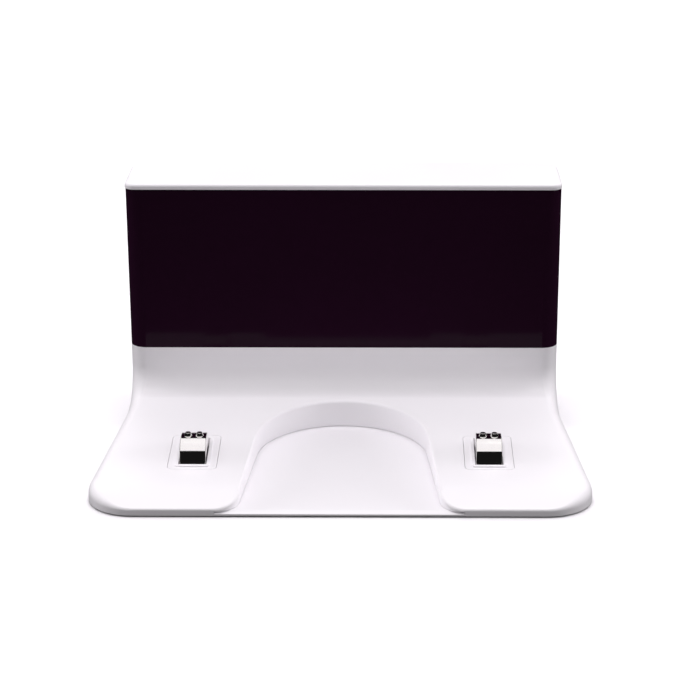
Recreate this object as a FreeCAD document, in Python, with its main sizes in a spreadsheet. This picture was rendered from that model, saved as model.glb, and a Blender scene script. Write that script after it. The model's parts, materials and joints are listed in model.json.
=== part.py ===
"""Charging dock for a robot vacuum, built as a parametric document in millimetres.

X runs across the dock, -Y is the front with the ramps, +Z is up.
The origin is the middle of the footprint, on the floor under the feet.
Every size is a cell of the Sizes sheet; the features read it through expressions.
"""
import FreeCAD, Part
import math
import os

import Sketcher
from FreeCAD import Placement, Rotation, Vector

SIZES = {
    # plan of the dock
    "base_width": 150.0,
    "dock_depth": 106.0,
    "body_depth": 28.5,
    "flare_angle": 6.9,
    "flare_clear": 14.4,
    "flare_blend": 60.0,
    "front_corner": 14.0,
    "body_front_corner": 5.2,
    "body_back_corner": 6.0,
    # caster recess between the two pads
    "recess_radius": 26.5,
    "recess_clear": 9.9,
    "recess_flare": 5.0,
    "pad_corner": 7.0,
    # heights and the ramp
    "foot_stand": 0.5,
    "lip_height": 2.0,
    "roll_length": 13.8,
    "roll_height": 5.91,
    "ramp_angle": 4.2,
    "cove_radius": 8.0,
    "seam_height": 24.5,
    "window_height": 52.8,
    "lid_thickness": 1.75,
    # walls, edges and fits
    "housing_wall": 2.0,
    "cover_wall": 2.0,
    "window_thickness": 2.0,
    "window_wrap": 12.0,
    "lid_overhang": 0.4,
    "lid_corner": 3.6,
    "lid_round": 1.0,
    "edge_round": 0.8,
    "side_round": 4.0,
    "fit_gap": 0.2,
    # bottom plate and feet
    "plate_thickness": 1.2,
    "nose_drop": 0.65,
    "nose_run": 1.8,
    "tongue_gap": 0.06,
    "foot_radius": 5.0,
    "foot_sink": 0.7,
    "foot_front_inset": 17.0,
    "foot_front": 13.0,
    "foot_back_inset": 29.2,
    "foot_back": 9.0,
    # case screws
    "screw_side": 8.0,
    "screw_back": 13.0,
    "screw_front": 11.5,
    "screw_shank": 1.4,
    "screw_head": 2.6,
    "screw_head_height": 1.6,
    "well_depth": 2.4,
    "well_wall": 1.4,
    "boss_radius": 3.4,
    "front_screw_bite": 3.0,
    "back_screw_bite": 8.0,
    "screw_slack": 0.05,
    "rib_thickness": 1.6,
    "rib_height": 8.0,
    "cover_post_drop": 6.0,
    # charging contacts and their holders
    "contact_shift": 5.95,
    "contact_setback": 31.2,
    "contact_width": 7.9,
    "contact_metal": 0.6,
    "contact_rise": 5.75,
    "crown_flat": 1.8,
    "arch_radius": 6.0,
    "arch_angle": 68.0,
    "contact_travel": 2.6,
    "contact_flange": 1.9,
    "contact_play": 0.1,
    "stud_radius": 1.25,
    "stud_top": 0.95,
    "stud_height": 1.0,
    "stud_pitch": 3.5,
    "stud_forward": 0.6,
    "slot_gap": 0.3,
    "slot_end_gap": 1.0,
    "holder_gap": 0.12,
    "collar_wall": 1.0,
    "collar_rise": 0.4,
    "collar_corner": 0.8,
    "holder_face_width": 14.7,
    "holder_corner": 1.5,
    "holder_end": 1.1,
    "holder_floor": 0.6,
    "holder_ledge": 1.2,
    "spring_metal": 0.4,
    "spring_width": 5.0,
    "spring_foot": 1.6,
    "spring_crown": 0.8,
    "spring_reach": 4.5,
    "spring_tail": 3.0,
    "lead_radius": 0.75,
    "lead_bend": 3.0,
    # circuit board and what stands on it
    "board_margin": 10.2,
    "board_height": 40.0,
    "board_thickness": 1.6,
    "emitter_room": 7.0,
    "board_inset": 4.0,
    "board_boss": 2.8,
    "board_screw": 1.1,
    "board_screw_head": 2.1,
    "board_screw_head_height": 1.5,
    "board_screw_bite": 7.0,
    "emitter_inset": 15.0,
    "emitter_width": 4.6,
    "emitter_height": 5.8,
    "emitter_body": 3.0,
    "emitter_lens": 1.5,
    "core_width": 24.0,
    "core_height": 20.0,
    "core_depth": 10.0,
    "core_leg": 4.0,
    "core_gap": 0.3,
    "winding_depth": 13.0,
    "bulk_radius": 5.0,
    "bulk_length": 13.0,
    "output_radius": 4.0,
    "output_length": 11.5,
    "choke_radius": 5.0,
    "choke_neck": 3.2,
    "choke_height": 9.0,
    "choke_flange": 1.2,
    "fuse_radius": 1.8,
    "fuse_length": 10.0,
    "chip_width": 9.0,
    "chip_height": 6.5,
    "chip_depth": 3.0,
    "terminal_width": 6.0,
    "terminal_height": 7.0,
    "terminal_depth": 6.0,
    "terminal_lift": 1.0,
    "mains_terminal_width": 9.0,
    "mains_terminal_depth": 12.5,
    # places on the board, from its middle or its upper and lower edges
    "transformer_x": 4.0,
    "bulk_x": -20.0,
    "bulk_drop": 12.0,
    "output_x": 28.0,
    "output_z": 4.0,
    "choke_z": 1.0,
    "fuse_drop": 7.0,
    "rectifier_x": -20.0,
    "rectifier_lift": 11.0,
    "controller_x": 4.0,
    "controller_lift": 4.5,
    # cord bay and mains inlet at the back
    "bay_side_clear": 4.8,
    "bay_depth": 22.0,
    "bay_height": 16.0,
    "bay_floor": 4.0,
    "bay_left": 3.0,
    "inlet_length": 21.0,
    "inlet_span": 17.0,
    "inlet_height": 11.0,
    "inlet_flange": 1.2,
    "inlet_flange_thickness": 1.5,
    "inlet_back": 12.0,
    "socket_span": 15.0,
    "socket_height": 8.6,
    "socket_depth": 11.0,
    "pin_radius": 1.2,
    "pin_pitch": 8.6,
    "pin_length": 8.5,
    "pin_tail": 4.0,
    "mains_lead_radius": 1.1,
    "mains_lead_bend": 4.0,
}

doc = FreeCAD.newDocument("charging_dock")
sheet = doc.addObject("Spreadsheet::Sheet", "Sizes")
for row, (alias, value) in enumerate(SIZES.items(), start=1):
    sheet.set(f"A{row}", alias)
    sheet.set(f"B{row}", str(value))
    sheet.setAlias(f"B{row}", alias)
doc.recompute()

# Places that several pieces share, as expressions of the sheet
FRONT = "(-Sizes.dock_depth / 2)"
BACK = "(Sizes.dock_depth / 2)"
PANEL = f"({BACK} - Sizes.body_depth)"
HALF_FLARE = ("(Sizes.base_width / 2 - Sizes.front_corner * (1 - tan(Sizes.flare_angle)"
              " - 1 / cos(Sizes.flare_angle)))")
FLARE_START = f"({PANEL} - Sizes.flare_clear)"
HALF_BODY = f"({HALF_FLARE} - ({FLARE_START} - {FRONT}) * tan(Sizes.flare_angle))"
UNDER = "Sizes.foot_stand"
PLATE_TOP = f"({UNDER} + Sizes.plate_thickness)"
SEAM = f"({UNDER} + Sizes.seam_height)"
WINDOW_TOP = f"({SEAM} + Sizes.window_height)"
LID_TOP = f"({WINDOW_TOP} + Sizes.lid_thickness)"
WRAP_END = f"({PANEL} + Sizes.window_wrap)"
RECESS_APEX = f"({PANEL} - Sizes.recess_clear)"
RECESS_MIDDLE = f"({RECESS_APEX} - Sizes.recess_radius)"
ROLL_END = f"({FRONT} + Sizes.roll_length)"
ROLL_DROP = "(Sizes.roll_height - Sizes.lip_height)"
ROLL_RADIUS = (f"((Sizes.roll_length ^ 2 + {ROLL_DROP} ^ 2) / (2 * ({ROLL_DROP} * cos(Sizes.ramp_angle)"
               " - Sizes.roll_length * sin(Sizes.ramp_angle))))")
BOARD_FRONT = f"({PANEL} + Sizes.window_thickness + Sizes.emitter_room)"
BOARD_BACK = f"({BOARD_FRONT} + Sizes.board_thickness)"
BOARD_MIDDLE = f"(({SEAM} + {WINDOW_TOP}) / 2)"
BOARD_BOTTOM = f"({BOARD_MIDDLE} - Sizes.board_height / 2)"
BOARD_TOP = f"({BOARD_MIDDLE} + Sizes.board_height / 2)"
HALF_BOARD = f"({HALF_BODY} - Sizes.board_margin)"
COVER_INNER_BACK = f"({BACK} - Sizes.cover_wall)"


def ramp(y):
    """Height of the ramp's plane over the place y."""
    return f"({UNDER} + Sizes.roll_height + ({y} - {ROLL_END}) * tan(Sizes.ramp_angle))"


def number(expression):
    """Value of an expression of the sheet."""
    return float(sheet.evalExpression(str(expression)))


def bind(thing, **sizes):
    """Bind properties to expressions; a double underscore stands for a dot in the property's path."""
    for path, expression in sizes.items():
        thing.setExpression(path.replace("__", "."), str(expression))
    return thing


def place(thing, x=0, y=0, z=0):
    """Bind the place of an object."""
    return bind(thing, Placement__Base__x=x, Placement__Base__y=y, Placement__Base__z=z)


# Part primitives and booleans

def box(name, x, y, z):
    """Box over three (low, high) pairs of expressions."""
    solid = doc.addObject("Part::Box", name)
    place(solid, x[0], y[0], z[0])
    return bind(solid, Length=f"{x[1]} - ({x[0]})", Width=f"{y[1]} - ({y[0]})", Height=f"{z[1]} - ({z[0]})")


AXIS_TURNS = {
    "x": Rotation(Vector(0, 1, 0), 90),
    "y": Rotation(Vector(1, 0, 0), -90),
    "z": Rotation(),
}


def cylinder(name, centre, radius, height, axis="z"):
    """Cylinder standing on its centre and growing along the axis."""
    solid = doc.addObject("Part::Cylinder", name)
    solid.Placement = Placement(Vector(), AXIS_TURNS[axis])
    place(solid, *centre)
    return bind(solid, Radius=radius, Height=height)


def fuse(name, shapes):
    """Fuse objects into one."""
    joined = doc.addObject("Part::MultiFuse", name)
    joined.Shapes = shapes
    joined.Refine = True
    return joined


def cut(name, base, tools):
    """Take the tools away from the base."""
    tool = tools[0] if len(tools) == 1 else fuse(f"{name}_tools", tools)
    result = doc.addObject("Part::Cut", name)
    result.Base = base
    result.Tool = tool
    result.Refine = True
    return result


def group(name, shapes):
    """Keep like solids together as one object of separate solids."""
    together = doc.addObject("Part::Compound", name)
    together.Links = shapes
    return together


# Bodies with sketches

def new_body(name):
    """Empty body."""
    return doc.addObject("PartDesign::Body", name)


def new_sketch(body, role, name, offset=0):
    """Sketch on one of the body's origin planes, moved along the plane's normal."""
    sketch = body.newObject("Sketcher::SketchObject", name)
    plane = next(item for item in body.Origin.OriginFeatures if item.Role == role)
    sketch.AttachmentSupport = [(plane, "")]
    sketch.MapMode = "FlatFace"
    return bind(sketch, AttachmentOffset__Base__z=offset)


def arc_between(start, end, radius, left_turn):
    """Arc of at most half a turn, drawn anticlockwise whichever way the outline runs along it."""
    chord = end - start
    along = chord * (1.0 / chord.Length)
    centre_side = Vector(-along.y, along.x, 0) if left_turn else Vector(along.y, -along.x, 0)
    to_centre = max(radius ** 2 - (chord.Length / 2) ** 2, 0.0) ** 0.5
    crown = (start + end) * 0.5 + centre_side * (to_centre - radius)
    return Part.Arc(start, crown, end) if left_turn else Part.Arc(end, crown, start)


def dimension(sketch, kind, side, point, value, name, expression):
    """Dimension from the sketch's origin to a point, bound to an expression."""
    index = sketch.addConstraint(Sketcher.Constraint(kind, -1, 1, side, point, value))
    sketch.renameConstraint(index, name)
    sketch.setExpression(f"Constraints.{name}", str(expression))


def outline(sketch, corners, bends=None):
    """Closed outline through corners given as pairs of expressions.

    bends maps the number of a side to (radius, left_turn) where that side is an arc and not a line.
    """
    bends = bends or {}
    points = [Vector(number(x), number(y), 0) for x, y in corners]
    followers = [(side + 1) % len(points) for side in range(len(points))]
    begins = [2 if side in bends and not bends[side][1] else 1 for side in range(len(points))]
    for side, follower in enumerate(followers):
        if side in bends:
            radius, left_turn = bends[side]
            sketch.addGeometry(arc_between(points[side], points[follower], number(radius), left_turn))
        else:
            sketch.addGeometry(Part.LineSegment(points[side], points[follower]))
    for side, follower in enumerate(followers):
        end = 3 - begins[side]
        sketch.addConstraint(Sketcher.Constraint("Coincident", side, end, follower, begins[follower]))
    for side, (x, y) in enumerate(corners):
        dimension(sketch, "DistanceX", side, begins[side], points[side].x, f"across_{side}", x)
        dimension(sketch, "DistanceY", side, begins[side], points[side].y, f"along_{side}", y)
    for side, (radius, _) in bends.items():
        index = sketch.addConstraint(Sketcher.Constraint("Radius", side, number(radius)))
        sketch.renameConstraint(index, f"bend_{side}")
        sketch.setExpression(f"Constraints.bend_{side}", str(radius))


def rectangle(sketch, x, y):
    """Rectangle over two (low, high) pairs of expressions."""
    outline(sketch, [(x[0], y[0]), (x[1], y[0]), (x[1], y[1]), (x[0], y[1])])


def pad(body, sketch, length, symmetric=False):
    """Pad a sketch, from its plane or to both sides of it."""
    feature = body.newObject("PartDesign::Pad", f"{sketch.Name}_pad")
    feature.Profile = sketch
    if symmetric:
        feature.SideType = "Symmetric"
    return bind(feature, Length=length)


def pocket(body, sketch, length):
    """Cut a sketch away to both sides of its plane."""
    feature = body.newObject("PartDesign::Pocket", f"{sketch.Name}_pocket")
    feature.Profile = sketch
    feature.SideType = "Symmetric"
    return bind(feature, Length=length)


def round_edges(body, name, chosen, radius):
    """Fillet the edges of the body's shape that the function chosen picks."""
    doc.recompute()
    base = body.Tip
    edges = [f"Edge{index}" for index, edge in enumerate(base.Shape.Edges, start=1) if chosen(edge)]
    feature = body.newObject("PartDesign::Fillet", name)
    feature.Base = (base, edges)
    return bind(feature, Radius=radius)


def upright_at(*places):
    """Chooser of the upright edges at places given as pairs of expressions."""
    targets = [(number(x), number(y)) for x, y in places]

    def chosen(edge):
        bounds = edge.BoundBox
        centre = bounds.Center
        upright = bounds.XLength < 1e-4 and bounds.YLength < 1e-4
        return upright and any(abs(centre.x - x) < 1e-3 and abs(centre.y - y) < 1e-3 for x, y in targets)
    return chosen


# Base housing: two ramped pads round the caster recess, coved up into the lower body

RECESS_EDGE_X = "(Sizes.recess_radius * cos(Sizes.recess_flare))"
RECESS_EDGE_Y = f"({RECESS_MIDDLE} + Sizes.recess_radius * sin(Sizes.recess_flare))"
MOUTH = f"({RECESS_EDGE_X} + ({RECESS_EDGE_Y} - {FRONT}) * tan(Sizes.recess_flare))"
TONGUE = f"({MOUTH} + Sizes.pad_corner * tan(45 - Sizes.recess_flare / 2))"
COVE_RUN = "(Sizes.cove_radius * tan(45 - Sizes.ramp_angle / 2))"
MARGIN = 5


def plan_block(name, inset, low, high):
    """Upright block over the housing's plan with the recess cut out, all its walls moved in by the inset."""
    body = new_body(name)
    side = f"({HALF_BODY} - {inset})"
    back = f"({BACK} - {inset})"
    front = f"({FRONT} + {inset})"
    flare = f"({FLARE_START} - {inset} * tan(Sizes.flare_angle / 2))"
    corner = f"({HALF_FLARE} - {inset} * (1 + sin(Sizes.flare_angle)) / cos(Sizes.flare_angle))"
    blend = f"(Sizes.flare_blend + {inset})"
    blend_run = f"({blend} * tan(Sizes.flare_angle / 2))"
    blend_back = f"({flare} + {blend_run})"
    blend_side = f"({side} + {blend_run} * sin(Sizes.flare_angle))"
    blend_front = f"({flare} - {blend_run} * cos(Sizes.flare_angle))"
    plan = new_sketch(body, "XY_Plane", f"{name}_plan", low)
    outline(plan, [
        (side, back), (f"-{side}", back), (f"-{side}", blend_back), (f"-{blend_side}", blend_front),
        (f"-{corner}", front), (corner, front), (blend_side, blend_front), (side, blend_back),
    ], {2: (blend, False), 6: (blend, False)})
    pad(body, plan, f"{high} - ({low})")
    round_edges(body, f"{name}_back", upright_at((side, back), (f"-{side}", back)),
                f"Sizes.body_back_corner - {inset}")
    round_edges(body, f"{name}_front", upright_at((corner, front), (f"-{corner}", front)),
                f"Sizes.front_corner - {inset}")

    radius = f"(Sizes.recess_radius + {inset})"
    edge_x = f"({radius} * cos(Sizes.recess_flare))"
    edge_y = f"({RECESS_MIDDLE} + {radius} * sin(Sizes.recess_flare))"
    outside = f"({FRONT} - {MARGIN})"
    outer_x = f"({edge_x} + ({edge_y} - {outside}) * tan(Sizes.recess_flare))"
    recess = new_sketch(body, "XY_Plane", f"{name}_recess", low)
    outline(recess, [(edge_x, edge_y), (f"-{edge_x}", edge_y), (f"-{outer_x}", outside), (outer_x, outside)],
            {0: (radius, True)})
    pocket(body, recess, f"2 * ({high} - ({low})) + {MARGIN}")
    mouth = f"({edge_x} + ({edge_y} - {front}) * tan(Sizes.recess_flare))"
    round_edges(body, f"{name}_mouth", upright_at((mouth, front), (f"-{mouth}", front)),
                f"Sizes.pad_corner - {inset}")
    return body


def carve_ramp(body, inset, high):
    """Cut away what stands over the lip, the roll, the ramp and the cove, and before the upright wall."""
    slope = "Sizes.ramp_angle"
    front = f"({FRONT} + {inset})"
    roll_y = f"({ROLL_END} + {inset} * sin({slope}))"
    roll_z = f"({ramp(ROLL_END)} - {inset} * cos({slope}))"
    centre_y = f"({ROLL_END} + {ROLL_RADIUS} * sin({slope}))"
    centre_z = f"({ramp(ROLL_END)} - {ROLL_RADIUS} * cos({slope}))"
    roll_radius = f"({ROLL_RADIUS} - {inset})"
    lip_z = f"({centre_z} + sqrt({roll_radius} ^ 2 - ({front} - {centre_y}) ^ 2))"
    wall = f"({PANEL} + {inset})"
    foot_z = f"({ramp(wall)} - {inset} / cos({slope}))"
    cove_radius = f"(Sizes.cove_radius + {inset})"
    cove_run = f"({cove_radius} * tan(45 - {slope} / 2))"
    above = f"({high} + {MARGIN})"
    before = f"({FRONT} - {MARGIN})"
    profile = new_sketch(body, "YZ_Plane", f"{body.Name}_ramp")
    outline(profile, [
        (front, lip_z),
        (roll_y, roll_z),
        (f"({wall} - {cove_run} * cos({slope}))", f"({foot_z} - {cove_run} * sin({slope}))"),
        (wall, f"({foot_z} + {cove_run})"),
        (wall, above),
        (before, above),
        (before, lip_z),
    ], {0: (roll_radius, False), 2: (cove_radius, True)})
    pocket(body, profile, "2 * Sizes.base_width")


def round_ramp_edges(name, body):
    """Round every edge round the ramps.

    The radius is small along the front and the recess. It grows round the front corners to that of the
    outer sides, and up the cove to that of the body's front corners.
    """
    doc.recompute()
    shape = body.Shape
    wall_y = number(PANEL)
    top = number(SEAM)
    cove_low = number(f"{ramp(PANEL)} - {COVE_RUN} * sin(Sizes.ramp_angle)")
    cove_high = number(f"{ramp(PANEL)} + {COVE_RUN}")
    front = number(FRONT)
    front_corner = number("Sizes.front_corner")
    corner_x = number("Sizes.base_width / 2") - front_corner
    small = number("Sizes.edge_round")
    side = number("Sizes.side_round")
    large = number("Sizes.body_front_corner")

    def shows_from_front(face):
        if isinstance(face.Surface, Part.Cylinder):
            return abs(face.Surface.Axis.x) > 0.999
        normal = face.normalAt(0, 0)
        is_wall = normal.y < -0.999 and abs(face.BoundBox.Center.y - wall_y) < 1e-3
        return is_wall or 0.001 < normal.z < 0.9999

    def radius_at(point):
        low = small
        if abs(point.x) > corner_x:
            round_the_corner = min((point.y - front) / front_corner, 1.0)
            low += (side - small) * round_the_corner
        up_the_cove = (point.z - cove_low) / (cove_high - cove_low)
        return low + (large - low) * min(max(up_the_cove, 0.0), 1.0)

    faces = [face for face in shape.Faces if shows_from_front(face)]
    rounds = []
    for index, edge in enumerate(shape.Edges, start=1):
        owners = [face for face in faces if any(edge.isSame(other) for other in face.Edges)]
        if len(owners) == 1 and edge.BoundBox.ZMin < top - 1e-3:
            start, end = (edge.valueAt(at) for at in edge.ParameterRange)
            if edge.Orientation == "Reversed":
                start, end = end, start
            rounds.append((index, radius_at(start), radius_at(end)))
    rounded = doc.addObject("Part::Fillet", name)
    rounded.Base = body
    rounded.Edges = rounds
    return rounded


# Places of the screws, the contacts and the cord bay
SCREW_X = f"({HALF_BODY} - Sizes.screw_side)"
BACK_SCREW_Y = f"({BACK} - Sizes.screw_back)"
FRONT_SCREW_Y = f"({PANEL} - Sizes.screw_front)"
WELL_ROOF = f"({UNDER} + Sizes.well_depth)"
WELL_TOP = f"({WELL_ROOF} + Sizes.well_wall)"
POST_LOW = f"({SEAM} - Sizes.cover_post_drop)"
WELL_BORE = "(Sizes.screw_head + Sizes.fit_gap)"
SCREW_HOLE = "(Sizes.screw_shank + Sizes.screw_slack)"
SIDES = {"left": "-1", "right": "1"}

CONTACT_X = "((Sizes.recess_radius + Sizes.base_width / 2) / 2 - Sizes.contact_shift)"
CONTACT_Y = f"({FRONT} + Sizes.contact_setback)"
HOLDER_FLOOR = f"({PLATE_TOP} + Sizes.holder_floor)"
FLANGE_LOW = f"({HOLDER_FLOOR} + Sizes.spring_metal + Sizes.contact_play + Sizes.contact_travel)"
FLANGE_TOP = f"({FLANGE_LOW} + Sizes.contact_metal)"
CROWN = f"({ramp(CONTACT_Y)} + Sizes.contact_rise)"
ARCH_LOW = f"({CROWN} - Sizes.arch_radius * (1 - cos(Sizes.arch_angle)))"
HALF_ARCH = "(Sizes.crown_flat / 2 + Sizes.arch_radius * sin(Sizes.arch_angle))"
HALF_CONTACT = f"({HALF_ARCH} + ({ARCH_LOW} - {FLANGE_TOP}) / tan(Sizes.arch_angle))"
HALF_SLOT_LENGTH = f"({HALF_CONTACT} + Sizes.slot_end_gap)"
FLANGE_ROOM = f"({HALF_CONTACT} + Sizes.contact_flange + Sizes.slot_gap)"
HALF_FACE = f"({FLANGE_ROOM} + Sizes.holder_end)"
HALF_SLOT = "(Sizes.contact_width / 2 + Sizes.slot_gap)"
LEAD_Z = f"({HOLDER_FLOOR} + Sizes.spring_metal / 2)"

BAY_X = ("(-Sizes.bay_left)", f"({CONTACT_X} - Sizes.bay_side_clear)")
BAY_Y = (f"({BACK} - Sizes.bay_depth)", BACK)
BAY_LOW = f"({PLATE_TOP} + Sizes.bay_floor)"
BAY_Z = (BAY_LOW, f"({BAY_LOW} + Sizes.bay_height)")
INLET_Y = f"({BACK} - Sizes.inlet_back)"
INLET_Z = f"({BAY_LOW} + Sizes.bay_height / 2)"


def wider(span, by):
    """A (low, high) pair grown at both ends."""
    return (f"({span[0]} - {by})", f"({span[1]} + {by})")


def about(middle, half):
    """A (low, high) pair round a middle."""
    return (f"({middle} - {half})", f"({middle} + {half})")


def four_corners(half_x, half_y):
    """Corners of a rectangle round the middle."""
    return [(f"{x} * {half_x}", f"{y} * {half_y}") for x in SIDES.values() for y in SIDES.values()]


def contact_x(side):
    """Place across of the contact on one side."""
    return f"({SIDES[side]} * {CONTACT_X})"


def contact_part(body, side):
    """Set one piece of a contact over its pad."""
    return place(body, contact_x(side), CONTACT_Y)


def make_base_housing():
    """White moulding that carries everything: shell, screw bosses, cord bay and holes."""
    outer = plan_block("housing_outer", 0, UNDER, SEAM)
    carve_ramp(outer, 0, SEAM)
    rounded = round_ramp_edges("housing_rounded", outer)
    cavity_top = f"({SEAM} + {MARGIN})"
    cavity = plan_block("housing_cavity", "Sizes.housing_wall", f"({UNDER} - {MARGIN})", cavity_top)
    carve_ramp(cavity, "Sizes.housing_wall", cavity_top)
    shell = cut("housing_shell", rounded, [cavity])

    added = [shell]
    removed = []
    bay_back = f"({BACK} - Sizes.housing_wall / 2)"
    added.append(box("bay_block", wider(BAY_X, "Sizes.housing_wall"),
                     (f"({BAY_Y[0]} - Sizes.housing_wall)", bay_back), wider(BAY_Z, "Sizes.housing_wall")))
    removed.append(box("bay_room", BAY_X, (BAY_Y[0], f"({BACK} + {MARGIN})"), BAY_Z))
    removed.append(box("inlet_hole", about("(-Sizes.bay_left)", f"(Sizes.housing_wall + {MARGIN})"),
                       about(INLET_Y, "(Sizes.inlet_span / 2 + Sizes.fit_gap)"),
                       about(INLET_Z, "(Sizes.inlet_height / 2 + Sizes.fit_gap)")))
    removed.append(box("tongue_slot", about(0, f"({TONGUE} + Sizes.tongue_gap)"),
                       (f"({FRONT} - {MARGIN})", f"({RECESS_APEX} + Sizes.housing_wall + {MARGIN})"),
                       (f"({UNDER} - {MARGIN})", f"({PLATE_TOP} + Sizes.contact_play)")))
    removed.append(plan_block("plate_seat", "Sizes.housing_wall", f"({UNDER} - {MARGIN})",
                              f"({PLATE_TOP} + Sizes.contact_play)"))
    for side, sign in SIDES.items():
        x = f"({sign} * {SCREW_X})"
        wall = f"({sign} * ({HALF_BODY} - Sizes.housing_wall / 2))"
        rib_span = (x, wall) if side == "right" else (wall, x)
        back_height = f"({POST_LOW} - {WELL_TOP})"
        front_top = f"({ramp(FRONT_SCREW_Y)} - Sizes.housing_wall / 2)"
        added.append(cylinder(f"back_boss_{side}", (x, BACK_SCREW_Y, WELL_TOP), "Sizes.boss_radius",
                              back_height))
        added.append(box(f"back_rib_{side}", rib_span, about(BACK_SCREW_Y, "(Sizes.rib_thickness / 2)"),
                         (WELL_TOP, POST_LOW)))
        added.append(cylinder(f"front_boss_{side}", (x, FRONT_SCREW_Y, WELL_TOP), "Sizes.boss_radius",
                              f"({front_top} - {WELL_TOP})"))
        removed.append(cylinder(f"back_pilot_{side}", (x, BACK_SCREW_Y, UNDER), SCREW_HOLE, SEAM))
        removed.append(cylinder(f"front_pilot_{side}", (x, FRONT_SCREW_Y, UNDER), SCREW_HOLE,
                                f"({WELL_TOP} - {UNDER} + Sizes.front_screw_bite + Sizes.fit_gap)"))
        removed.append(make_holder_hole(side))
    return cut("base_housing", fuse("housing_solid", added), removed)


def make_holder_hole(side):
    """Hole in the ramp that the contact holder's face fills."""
    body = contact_part(new_body(f"holder_hole_{side}"), side)
    half_width = "(Sizes.holder_face_width / 2 + Sizes.holder_gap)"
    half_length = f"({HALF_FACE} + Sizes.holder_gap)"
    plan = new_sketch(body, "XY_Plane", f"holder_hole_plan_{side}", PLATE_TOP)
    rectangle(plan, about(0, half_width), about(0, half_length))
    pad(body, plan, f"{SEAM} - {PLATE_TOP}")
    round_edges(body, f"holder_hole_corners_{side}", upright_at(*four_corners(half_width, half_length)),
                "Sizes.holder_corner + Sizes.holder_gap")
    return body


def make_bottom_plate():
    """Flat plate that closes the underside; its tongue is the floor of the caster recess."""
    sheet_body = plan_block("plate_sheet", "(Sizes.housing_wall + Sizes.fit_gap)", UNDER, PLATE_TOP)
    tongue = new_body("plate_tongue")
    profile = new_sketch(tongue, "YZ_Plane", "plate_tongue_profile")
    tongue_back = f"({RECESS_APEX} + Sizes.housing_wall + {MARGIN})"
    outline(profile, [
        (FRONT, UNDER), (tongue_back, UNDER), (tongue_back, PLATE_TOP),
        (f"({FRONT} + Sizes.nose_run)", PLATE_TOP), (FRONT, f"({PLATE_TOP} - Sizes.nose_drop)"),
    ])
    pad(tongue, profile, f"2 * {TONGUE}", symmetric=True)

    added = [sheet_body, tongue]
    removed = []
    for side, sign in SIDES.items():
        x = f"({sign} * {SCREW_X})"
        for row, y in (("front", FRONT_SCREW_Y), ("back", BACK_SCREW_Y)):
            added.append(cylinder(f"well_{row}_{side}", (x, y, UNDER), f"({WELL_BORE} + Sizes.well_wall)",
                                  f"({WELL_TOP} - {UNDER})"))
            removed.append(cylinder(f"well_bore_{row}_{side}", (x, y, f"({UNDER} - {MARGIN})"), WELL_BORE,
                                    f"(Sizes.well_depth + {MARGIN})"))
            removed.append(cylinder(f"well_hole_{row}_{side}", (x, y, UNDER),
                                    f"({SCREW_HOLE} + Sizes.fit_gap)", f"({WELL_TOP} - {UNDER} + {MARGIN})"))
    for name, x, y in foot_places():
        removed.append(cylinder(f"{name}_seat", (x, y, f"({UNDER} - {MARGIN})"),
                                "(Sizes.foot_radius + Sizes.fit_gap)", f"(Sizes.foot_sink + {MARGIN})"))
    return cut("bottom_plate", fuse("plate_solid", added), removed)


def foot_places():
    """Name and place of each foot."""
    places = []
    for side, sign in SIDES.items():
        front_x = f"({sign} * (Sizes.base_width / 2 - Sizes.foot_front_inset))"
        back_x = f"({sign} * ({HALF_BODY} - Sizes.foot_back_inset))"
        places.append((f"foot_front_{side}", front_x, f"({FRONT} + Sizes.foot_front)"))
        places.append((f"foot_back_{side}", back_x, f"({BACK} - Sizes.foot_back)"))
    return places


def make_feet():
    """Rubber discs sunk in the bottom plate."""
    return [cylinder(name, (x, y, 0), "Sizes.foot_radius", "Sizes.foot_stand + Sizes.foot_sink")
            for name, x, y in foot_places()]


def make_ir_window():
    """Dark window bent round the front corners, standing on the housing's rim."""
    body = new_body("ir_window")
    inside = f"({HALF_BODY} - Sizes.window_thickness)"
    flat = f"({HALF_BODY} - Sizes.body_front_corner)"
    bend_y = f"({PANEL} + Sizes.body_front_corner)"
    inner_y = f"({PANEL} + Sizes.window_thickness)"
    inner_bend = "(Sizes.body_front_corner - Sizes.window_thickness)"
    plan = new_sketch(body, "XY_Plane", "ir_window_plan", SEAM)
    outline(plan, [
        (f"-{HALF_BODY}", WRAP_END), (f"-{HALF_BODY}", bend_y), (f"-{flat}", PANEL),
        (flat, PANEL), (HALF_BODY, bend_y), (HALF_BODY, WRAP_END),
        (inside, WRAP_END), (inside, bend_y), (flat, inner_y),
        (f"-{flat}", inner_y), (f"-{inside}", bend_y), (f"-{inside}", WRAP_END),
    ], {
        1: ("Sizes.body_front_corner", True), 3: ("Sizes.body_front_corner", True),
        7: (inner_bend, False), 9: (inner_bend, False),
    })
    pad(body, plan, "Sizes.window_height")
    return body


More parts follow.
